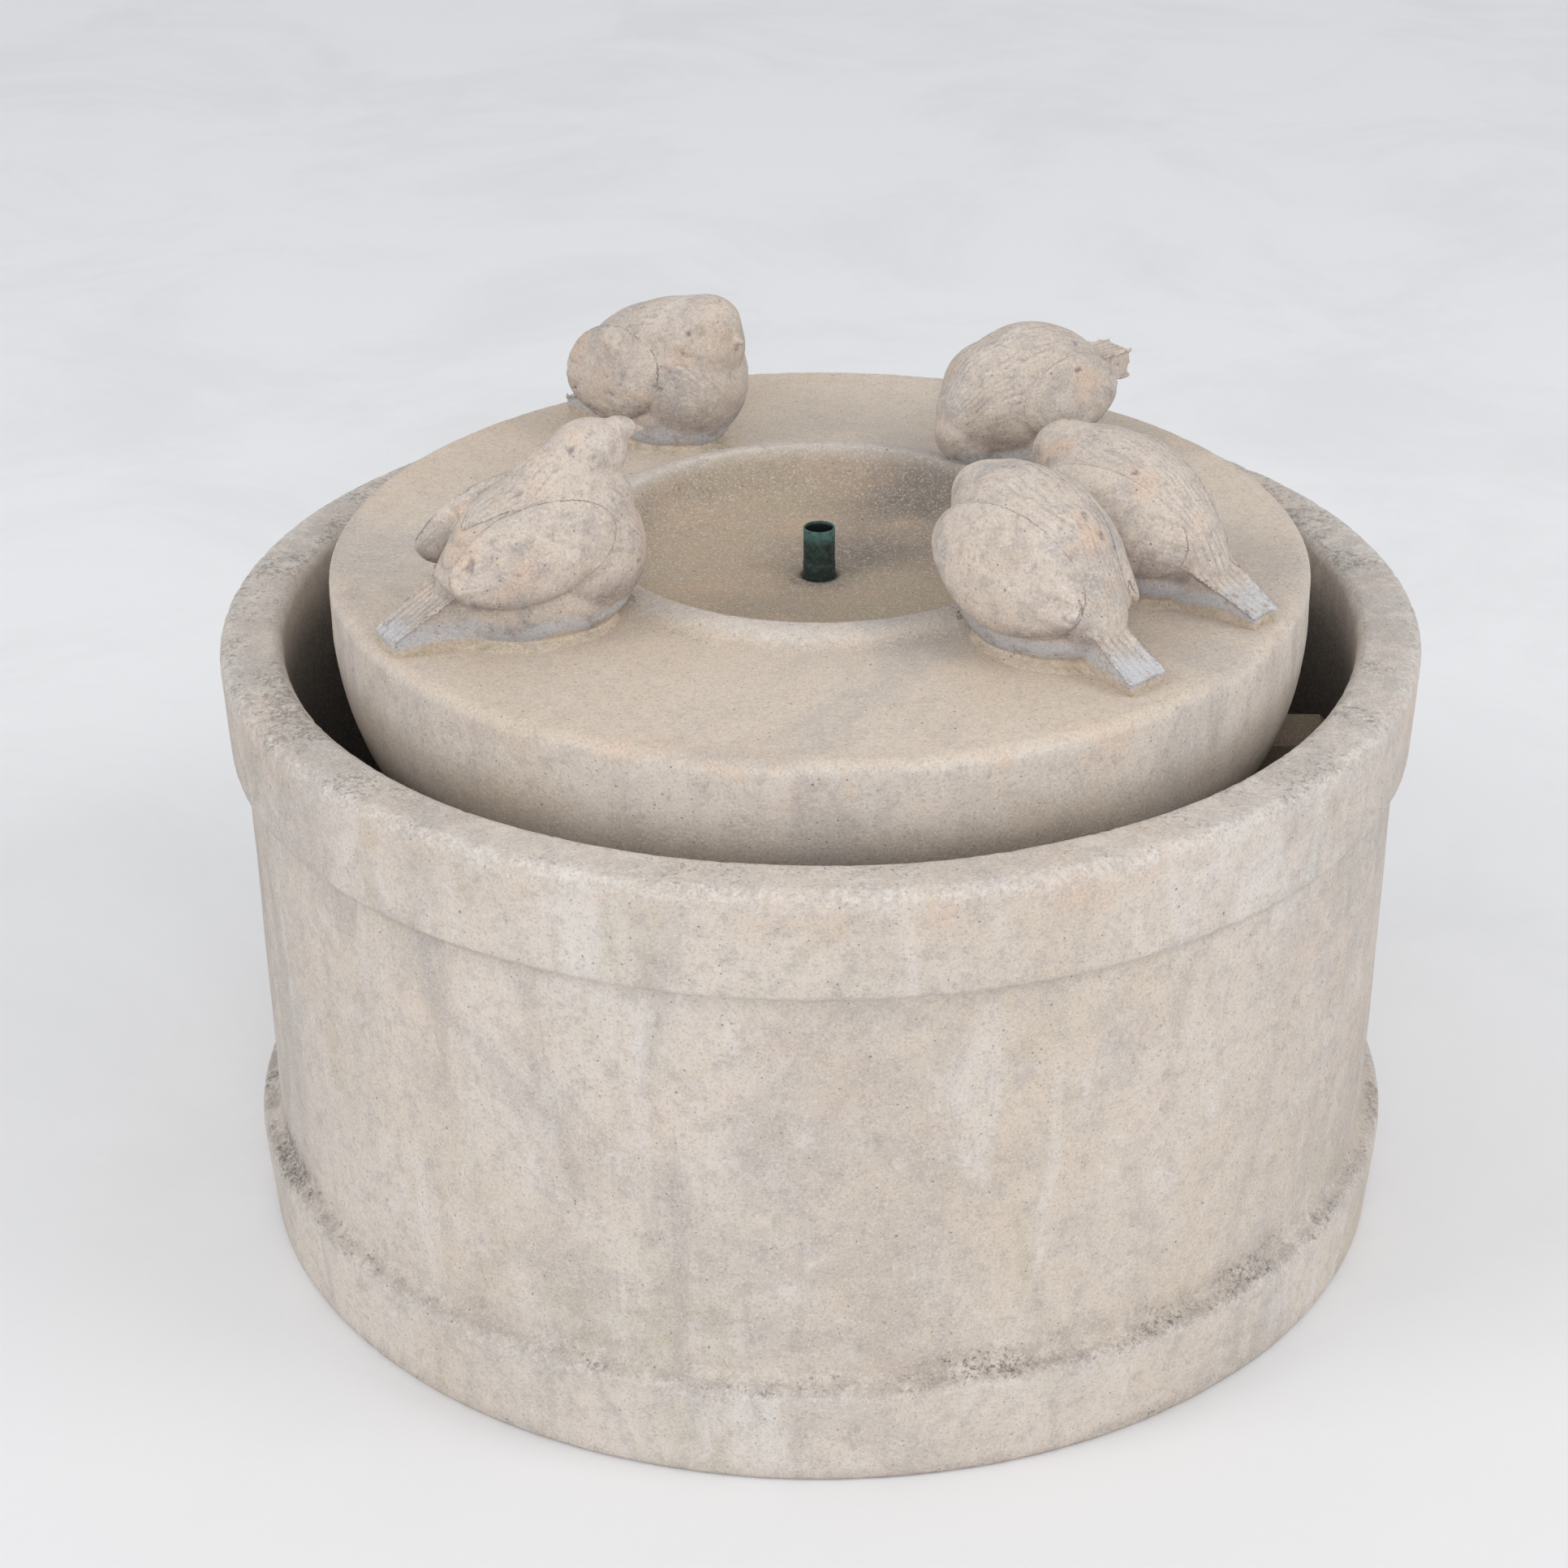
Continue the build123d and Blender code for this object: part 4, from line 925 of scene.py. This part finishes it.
def sculpt_bird(piece, name, bird):
    """Feathers, eyes and wear, and the masks for the finish. Works in the bird's own millimetres."""
    mesh = piece.data
    points, normals = points_of(mesh), normals_of(mesh)
    seed = BIRD_NAMES.index(name) * 13.0
    broad = noise_at(points * MM, 38.0, seed)
    fine = noise_at(points * MM, 170.0, seed + 4.0)
    side = np.where(points[:, 1] > 0, 1.0, -1.0)
    wing = np.zeros(len(points))
    wing_along = np.zeros(len(points))
    wing_up = np.zeros(len(points))
    for which in (-1, 1):
        along, up = wing_place(points, bird, which)
        inside = (side == which) & (normals[:, 1] * which > -0.1)
        reach = np.sqrt(along ** 2 + up ** 2)
        wing = np.where(inside, smooth(reach, 1.02, 0.93), wing)
        wing_along = np.where(side == which, along, wing_along)
        wing_up = np.where(side == which, up, wing_up)
    tail_start = np.array(bird["tail_from"])
    tail_run = np.array(bird["tail_to"]) - tail_start
    tail_size = np.linalg.norm(tail_run)
    down_tail = (points - tail_start) @ (tail_run / tail_size) / tail_size
    tail = smooth(down_tail, 0.12, 0.34) * (1.0 - wing) * smooth(np.abs(points[:, 1]), 26.0, 20.0)
    tail = tail * smooth(normals[:, 2], 0.0, 0.5)
    head = np.array(bird["lumps"][3][0])
    from_head = np.linalg.norm(points - head, axis=1)
    face = smooth(from_head, 34.0, 24.0)
    back = smooth(normals[:, 2], -0.2, 0.3) * (1.0 - face) * (1.0 - tail)
    tail_line = points[:, 1] * (1.0 - 0.12 * np.clip(down_tail, 0, 1)) + broad * 0.8
    tail_groove = np.clip(np.cos(tail_line * (FULL_TURN / 5.2)), 0.0, 1.0) ** 2 * tail
    shift = -0.75 * tail_groove
    # The seam is a slight groove round the wing and carries the painted shadow under its lower edge.
    seam = near(wing_along ** 2 + wing_up ** 2, 1.12, 0.10) * smooth(points[:, 2], 18.0, 34.0)
    rear = smooth(wing_along, 0.75, 0.15)
    lower = smooth(wing_up, 0.35, -0.35)
    seam = seam * (1 - wing) * (0.22 + 0.78 * lower * rear) * (1 - 0.5 * bird["coarse"])
    shift = shift - 0.8 * seam * smooth(np.abs(normals[:, 1]), 0.05, 0.3)
    shift = shift + wing * (0.4 + 3.0 * lower * rear) * (1 - 0.4 * bird["coarse"])
    tip = wing * smooth(wing_along, -0.35, -0.75)
    tip_groove = np.clip(np.cos(wing_up * 15.0 + wing_along * 3.0), 0.0, 1.0) ** 3 * tip
    shift = shift - 0.35 * tip_groove
    shift = shift + broad * 0.7 + fine * (0.10 + 0.75 * bird["coarse"] * (0.3 + 0.7 * wing))
    pits = np.clip(-fine - 0.46, 0.0, 1.0) * smooth(broad, 0.05, 0.35)
    shift = shift - pits * (3.0 + 7.0 * bird["coarse"])
    eye_forward, eye_out, eye_height = bird["eye"]
    sockets = np.zeros(len(points))
    for eye_side in (-1, 1):
        eye = np.array((eye_forward, eye_side * eye_out, eye_height))
        offset = points - eye
        distance = np.sqrt(offset[:, 0] ** 2 + offset[:, 1] ** 2 + (offset[:, 2] * 0.75) ** 2)
        shift = shift - 2.6 * near(distance, 0.0, 4.4) + 1.2 * near(distance, 0.0, 1.8)
        # The eye sockets are painted dark as shade in their hollows.
        sockets = sockets + 0.9 * near(distance, 0.0, 4.4)
    points = points + normals * shift[:, None]
    barb = np.where(wing > 0.5, wing_up * 30.0 + wing_along * 9.0,
                    np.arctan2(points[:, 1], points[:, 2] - 10.0) * 42.0 + broad * 3.0)
    paint(mesh, "barb", barb * (FULL_TURN / 2.9))
    paint(mesh, "plume", np.clip(back * (0.9 - 0.65 * wing) + 0.3 * tip, 0, 1))
    # Darkens the tail and wing-tip grooves, and paints shadow under the wing's edge and shade in the
    # eye sockets.
    paint(mesh, "groove", np.clip(tail_groove + 0.6 * tip_groove + 0.8 * seam + sockets, 0, 1))
    paint(mesh, "coarse", np.clip(bird["coarse"] * (0.25 + 0.75 * wing) + 4.0 * pits, 0, 1))
    # Painted shade on the low, downward-facing undersides, plus the pits.
    underside_shade = smooth(normals[:, 2], 0.15, -0.5) * smooth(points[:, 2], 66.0, 24.0)
    paint(mesh, "under", np.clip(underside_shade * (0.8 + 0.8 * broad) + 4.0 * pits, 0, 1))
    uneven = points[:, 2] + broad * 4.0
    paint(mesh, "foot", smooth(uneven, 24.0, 14.0) * smooth(uneven, 4.5, 8.5))
    paint(mesh, "bed", smooth(uneven, 7.5, 4.0))
    paint(mesh, "flush", np.clip(0.30 + 1.3 * broad, 0, 1) * smooth(points[:, 2], 14.0, 28.0))
    return points


class FOUNTAIN_OT_birds(bpy.types.Operator):
    """Models the five birds and beds them on the bowl"""
    bl_idname = "fountain.birds"
    bl_label = "Birds"

    def execute(self, context):
        sizes = context.scene.fountain_bowl
        flat = bowl_flat(sizes)
        material = bird_finish(context.scene.fountain_stone)
        for name, bird in BIRDS.items():
            piece = bird_body(name, bird)
            points = sculpt_bird(piece, name, bird)
            pin_low, pin_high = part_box(name + "_pin")
            middle = (pin_low + pin_high) / 2
            place = (Matrix.Translation((middle.x, middle.y, flat))
                     @ Matrix.Rotation(math.radians(bird["heading"]), 4, "Z")
                     @ Matrix.Scale(MM, 4))
            matrix = np.array(place)
            points = points @ matrix[:3, :3].T + matrix[:3, 3]
            radius = np.hypot(points[:, 0], points[:, 1])
            ground = bowl_height(radius) - 0.6 * MM
            points[:, 2] = np.maximum(points[:, 2], ground)
            held = np.clip(radius, sizes.dish_radius + 5 * MM, BOWL_HIGH.x - 7 * MM)
            low = smooth(points[:, 2], flat + 16 * MM, flat + 10 * MM)
            points[:, :2] *= (1 + low * (held / radius - 1))[:, None]
            move_points(piece.data, points)
            finish_piece(piece, "bowl", "bird_stone", material, name)
        return {"FINISHED"}


# ---------------------------------------------------------------- riser
def riser_finish():
    finish = Finish("patinated_riser_copper", (0.016, 0.024, 0.018))
    spots = finish.noise(240.0, 6.0, 0.7)
    finish.coat(finish.band(spots, 0.44, 0.64), (0.030, 0.068, 0.060))
    finish.coat(finish.masked("ring", spots, 0.30, 0.60, 0.30, 1.0), (0.085, 0.19, 0.175))
    # Painted shade: the tube's bore is near-black inside its open top.
    finish.coat(finish.mask("bore"), (0.006, 0.008, 0.007))
    crust = finish.noise(600.0, 5.0, 0.7)
    return finish.close(finish.band(crust, 0.3, 0.7, 0.75, 0.5),
                        finish.bump(finish.plus(crust, spots), 0.35 * MM, 0.8), 0.25)


class FOUNTAIN_OT_riser(bpy.types.Operator):
    """Makes the patinated copper riser tube"""
    bl_idname = "fountain.riser"
    bl_label = "Riser"

    def execute(self, context):
        outer = RISER_HIGH.x
        inner = outer - 1.14 * MM
        low, high = RISER_LOW.z, RISER_HIGH.z
        lip = 0.45 * MM
        end = outer - 0.35 * MM
        shoulder = high - 26 * MM
        bm = bmesh.new()
        rounded_line(bm, [(inner, high - 3 * MM, 0.0), (inner, low, lip), (outer, low, lip),
                          (outer, shoulder, 0.1 * MM), (end, shoulder, 0.0),
                          (end, high, 0.3 * MM), (inner, high, 0.25 * MM)],
                     lambda point: 2.5 * MM)
        spin_line(bm, RISER_STEPS)
        piece = new_piece("riser_copper_tube", bm)
        points, normals = points_of(piece.data), normals_of(piece.data)
        dent = noise_at(points, 90.0, 2.0) * 0.16 * MM
        move_points(piece.data, points + normals * dent[:, None])
        # The bore mask paints shade inside the tube's open top.
        bore = smooth(np.hypot(points[:, 0], points[:, 1]), inner + 0.4 * MM, inner + 0.1 * MM)
        bore = bore * smooth(points[:, 2], high - 0.8 * MM, high - 2 * MM)
        paint(piece.data, "bore", bore)
        paint(piece.data, "ring", smooth(points[:, 2], high - 12 * MM, high - 3 * MM) * (1 - bore))
        finish_piece(piece, "basin", "riser_copper", riser_finish(), "riser_tube")
        return {"FINISHED"}


# ---------------------------------------------------------------- pump, piers and small pieces
def moulded(name, base, film, rough=(0.35, 0.6), scale=60.0, metallic=0.0, relief=0.15 * MM):
    """Used plastic, rubber or metal with a film of lime in patches."""
    finish = Finish(name, base)
    patches = finish.noise(scale, 7.0, 0.65, bend=0.5)
    finish.coat(finish.band(patches, 0.50, 0.72, 0.0, 0.75), film)
    fine = finish.noise(1400.0, 3.0, 0.6)
    height = finish.plus(finish.times(patches, 0.5), fine)
    return finish.close(finish.band(patches, 0.40, 0.70, *rough),
                        finish.bump(height, relief, 0.5), metallic)


def brushed(name, base, film):
    finish = Finish(name, base)
    lines = finish.noise(1.0, 3.0, 0.6, stretch=(300.0, 300.0, 4200.0))
    spots = finish.noise(260.0, 6.0, 0.7)
    finish.coat(finish.band(spots, 0.56, 0.68, 0.0, 0.7), film)
    return finish.close(finish.band(lines, 0.3, 0.7, 0.24, 0.46),
                        finish.bump(lines, 0.05 * MM, 0.6), 1.0)


def wound_copper():
    finish = Finish("wound_coil_copper", (0.16, 0.05, 0.02))
    wave = finish.node("ShaderNodeTexWave", wave_type="BANDS", bands_direction="X")
    finish.join(wave.inputs["Vector"], finish.place)
    wave.inputs["Scale"].default_value = 310.0
    finish.coat(wave.outputs["Fac"], (0.62, 0.26, 0.10))
    return finish.close(0.32, finish.bump(wave.outputs["Fac"], 0.4 * MM, 0.9), 0.85)


def open_foam():
    finish = Finish("filter_foam", (0.012, 0.012, 0.012))
    distance, _ = finish.cells(620.0)
    finish.coat(finish.band(distance, 0.2, 0.6), (0.10, 0.10, 0.095))
    silt = finish.noise(80.0, 5.0, 0.6)
    finish.coat(finish.band(silt, 0.52, 0.70, 0.0, 0.6), (0.22, 0.18, 0.12))
    return finish.close(0.95, finish.bump(distance, 0.9 * MM, 1.0))


def clear_hose():
    finish = Finish("clouded_clear_hose", (0.50, 0.55, 0.50))
    haze = finish.noise(45.0, 5.0, 0.6)
    finish.coat(finish.band(haze, 0.40, 0.65), (0.62, 0.62, 0.52))
    fine = finish.noise(900.0, 2.0, 0.5)
    material = finish.close(finish.band(haze, 0.4, 0.7, 0.18, 0.42),
                            finish.bump(fine, 0.05 * MM, 0.4))
    finish.shader.inputs["Transmission Weight"].default_value = 0.55
    finish.shader.inputs["IOR"].default_value = 1.45
    return material


def node_finishes(stone):
    """Which finish each kind of carried-over piece gets."""
    lime = (0.42, 0.41, 0.38)
    steel = brushed("band_steel", (0.56, 0.56, 0.55), (0.30, 0.20, 0.13))
    case = moulded("pump_case_plastic", (0.022, 0.023, 0.025), lime, (0.36, 0.62), 42.0)
    cage = moulded("intake_cage_plastic", (0.028, 0.030, 0.032), lime, (0.42, 0.7), 55.0)
    rubber = moulded("black_rubber", (0.030, 0.030, 0.030), (0.20, 0.19, 0.17), (0.6, 0.85), 90.0)
    return {
        "support_pier": pier_finish(stone),
        "bearing_pad": rubber,
        "bird_": brushed("pin_steel", (0.60, 0.60, 0.59), (0.34, 0.24, 0.16)),
        "riser_bush": rubber,
        "supply_hose": clear_hose(),
        "hose_clamp": steel,
        "clamp_screw": steel,
        "cover_screws": steel,
        "outlet_adapter": case,
        "drain_stopper": moulded("stopper_rubber", (0.040, 0.038, 0.036), lime, (0.55, 0.8), 70.0),
        "pump_case": case,
        "volute_cover": case,
        "cord_gland": case,
        "potting_resin": moulded("potting_resin", (0.016, 0.016, 0.018), (0.05, 0.05, 0.05),
                                 (0.12, 0.3), 30.0),
        "stator_core": brushed("stator_steel", (0.30, 0.30, 0.31), (0.22, 0.15, 0.10)),
        "stator_coil": wound_copper(),
        "rotor_magnet": moulded("rotor_magnet", (0.055, 0.054, 0.053), (0.11, 0.10, 0.10),
                                (0.45, 0.6), 200.0),
        "impeller": moulded("impeller_plastic", (0.66, 0.66, 0.62), (0.50, 0.44, 0.34),
                            (0.3, 0.5), 90.0),
        "rotor_shaft": moulded("shaft_ceramic", (0.80, 0.79, 0.75), (0.70, 0.68, 0.62),
                               (0.12, 0.25), 300.0),
        "shaft_bush": rubber,
        "cover_seal": rubber,
        "flow_dial": moulded("dial_plastic", (0.035, 0.10, 0.22), lime, (0.3, 0.5), 60.0),
        "intake_cage": cage,
        "filter_sponge": open_foam(),
        "suction_cups": moulded("cup_rubber", (0.045, 0.047, 0.050), lime, (0.35, 0.6), 80.0),
    }


class FOUNTAIN_OT_fittings(bpy.types.Operator):
    """Gives the pump, the hose, the piers and the small fittings their finishes"""
    bl_idname = "fountain.fittings"
    bl_label = "Fittings"

    def execute(self, context):
        finishes = node_finishes(context.scene.fountain_stone)
        for name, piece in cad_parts.items():
            if piece.hide_render:
                continue
            keys = [key for key in finishes if name.startswith(key)]
            if not keys:
                raise RuntimeError("no finish for " + name)
            piece.data.materials.clear()
            piece.data.materials.append(finishes[keys[0]])
        return {"FINISHED"}


# ---------------------------------------------------------------- stage
def plain_floor(tint):
    """Pale plaster, a little darker in soft clouds, with painted shading that makes it darker towards
    the camera.
    """
    finish = Finish("plain_pale_floor", [channel * 0.84 for channel in tint])
    parts = finish.node("ShaderNodeSeparateXYZ")
    finish.join(parts.inputs["Vector"], finish.place)
    # Painted shading: darker near the camera and brighter far off, where the lamps' light falls away.
    finish.coat(finish.band(parts.outputs["Y"], -1.8, 1.2), tint)
    cloud = finish.noise(2.2, 8.0, 0.68, bend=0.6)
    finish.coat(finish.band(cloud, 0.42, 0.66, 0.0, 0.5), [channel * 0.88 for channel in tint])
    return finish.close(0.8, finish.bump(finish.noise(7.0, 9.0, 0.7), 3 * MM, 0.25))


def area_light(name, place, target, size, power, tint):
    data = bpy.data.lights.new(name, "AREA")
    data.shape = "DISK"
    data.size = size
    data.energy = power
    data.color = tint
    lamp = bpy.data.objects.new(name, data)
    lamp.location = place
    lamp.rotation_euler = (Vector(target) - Vector(place)).to_track_quat("-Z", "Y").to_euler()
    bpy.context.scene.collection.objects.link(lamp)


class FOUNTAIN_OT_stage(bpy.types.Operator):
    """Makes the floor, the soft studio lights and the camera"""
    bl_idname = "fountain.stage"
    bl_label = "Stage"

    def execute(self, context):
        stage = context.scene.fountain_stage
        bm = bmesh.new()
        bmesh.ops.create_grid(bm, x_segments=8, y_segments=8, size=14.0)
        floor = new_piece("studio_floor", bm)
        floor.data.materials.append(plain_floor(tuple(stage.floor)))
        world = bpy.data.worlds.new("studio")
        world.use_nodes = True
        sky = world.node_tree.nodes["Background"]
        sky.inputs["Color"].default_value = (0.96, 0.98, 1.0, 1.0)
        sky.inputs["Strength"].default_value = stage.sky
        context.scene.world = world
        context.scene.view_settings.view_transform = "Standard"
        target = (0.0, 0.0, 0.3)
        area_light("left_softbox", (-2.6, -1.5, 2.9), target, 1.6, stage.key, (1.0, 0.99, 0.97))
        area_light("right_softbox", (2.6, -1.2, 2.8), target, 1.6, stage.key, (1.0, 0.99, 0.97))
        area_light("front_fill", (0.2, -3.8, 1.9), target, 2.2, stage.key * 1.2, (1.0, 0.99, 0.98))
        lens = bpy.data.cameras.new("camera")
        lens.lens = stage.lens
        lens.sensor_width = 36.0
        camera = bpy.data.objects.new("camera", lens)
        context.scene.collection.objects.link(camera)
        level = math.cos(stage.pitch)
        forward = Vector((math.sin(stage.yaw) * level, math.cos(stage.yaw) * level,
                          -math.sin(stage.pitch)))
        camera.location = (0.0, -stage.distance, stage.height)
        aim = forward.to_track_quat("-Z", "Y").to_matrix().to_4x4()
        lean = aim @ Matrix.Rotation(stage.roll, 4, "Z")
        camera.rotation_euler = lean.to_euler()
        context.scene.camera = camera
        return {"FINISHED"}


# ---------------------------------------------------------------- panel and registration
STEPS = (FOUNTAIN_OT_stage, FOUNTAIN_OT_basin, FOUNTAIN_OT_bowl, FOUNTAIN_OT_birds,
         FOUNTAIN_OT_riser, FOUNTAIN_OT_fittings)
SETTINGS = {
    "fountain_basin": FountainBasinSettings,
    "fountain_bowl": FountainBowlSettings,
    "fountain_stone": FountainStoneSettings,
    "fountain_stage": FountainStageSettings,
}


class FOUNTAIN_PT_panel(bpy.types.Panel):
    """Lists the fountain's settings and steps"""
    bl_idname = "FOUNTAIN_PT_panel"
    bl_label = "Stone Bird Fountain"
    bl_space_type = "VIEW_3D"
    bl_region_type = "UI"
    bl_category = "Fountain"

    def draw(self, context):
        for name, group in SETTINGS.items():
            box = self.layout.box()
            for key in group.__annotations__:
                box.prop(getattr(context.scene, name), key)
        for step in STEPS:
            self.layout.operator(step.bl_idname)


def register():
    for group in (*SETTINGS.values(), *STEPS, FOUNTAIN_PT_panel):
        bpy.utils.register_class(group)
    for name, group in SETTINGS.items():
        setattr(bpy.types.Scene, name, bpy.props.PointerProperty(type=group))


def unregister():
    for name in SETTINGS:
        delattr(bpy.types.Scene, name)
    for group in (FOUNTAIN_PT_panel, *reversed(STEPS), *reversed(SETTINGS.values())):
        bpy.utils.unregister_class(group)


def main():
    register()
    for step in STEPS:
        group, name = step.bl_idname.split(".")
        getattr(getattr(bpy.ops, group), name)()


if __name__ == "__main__":
    main()
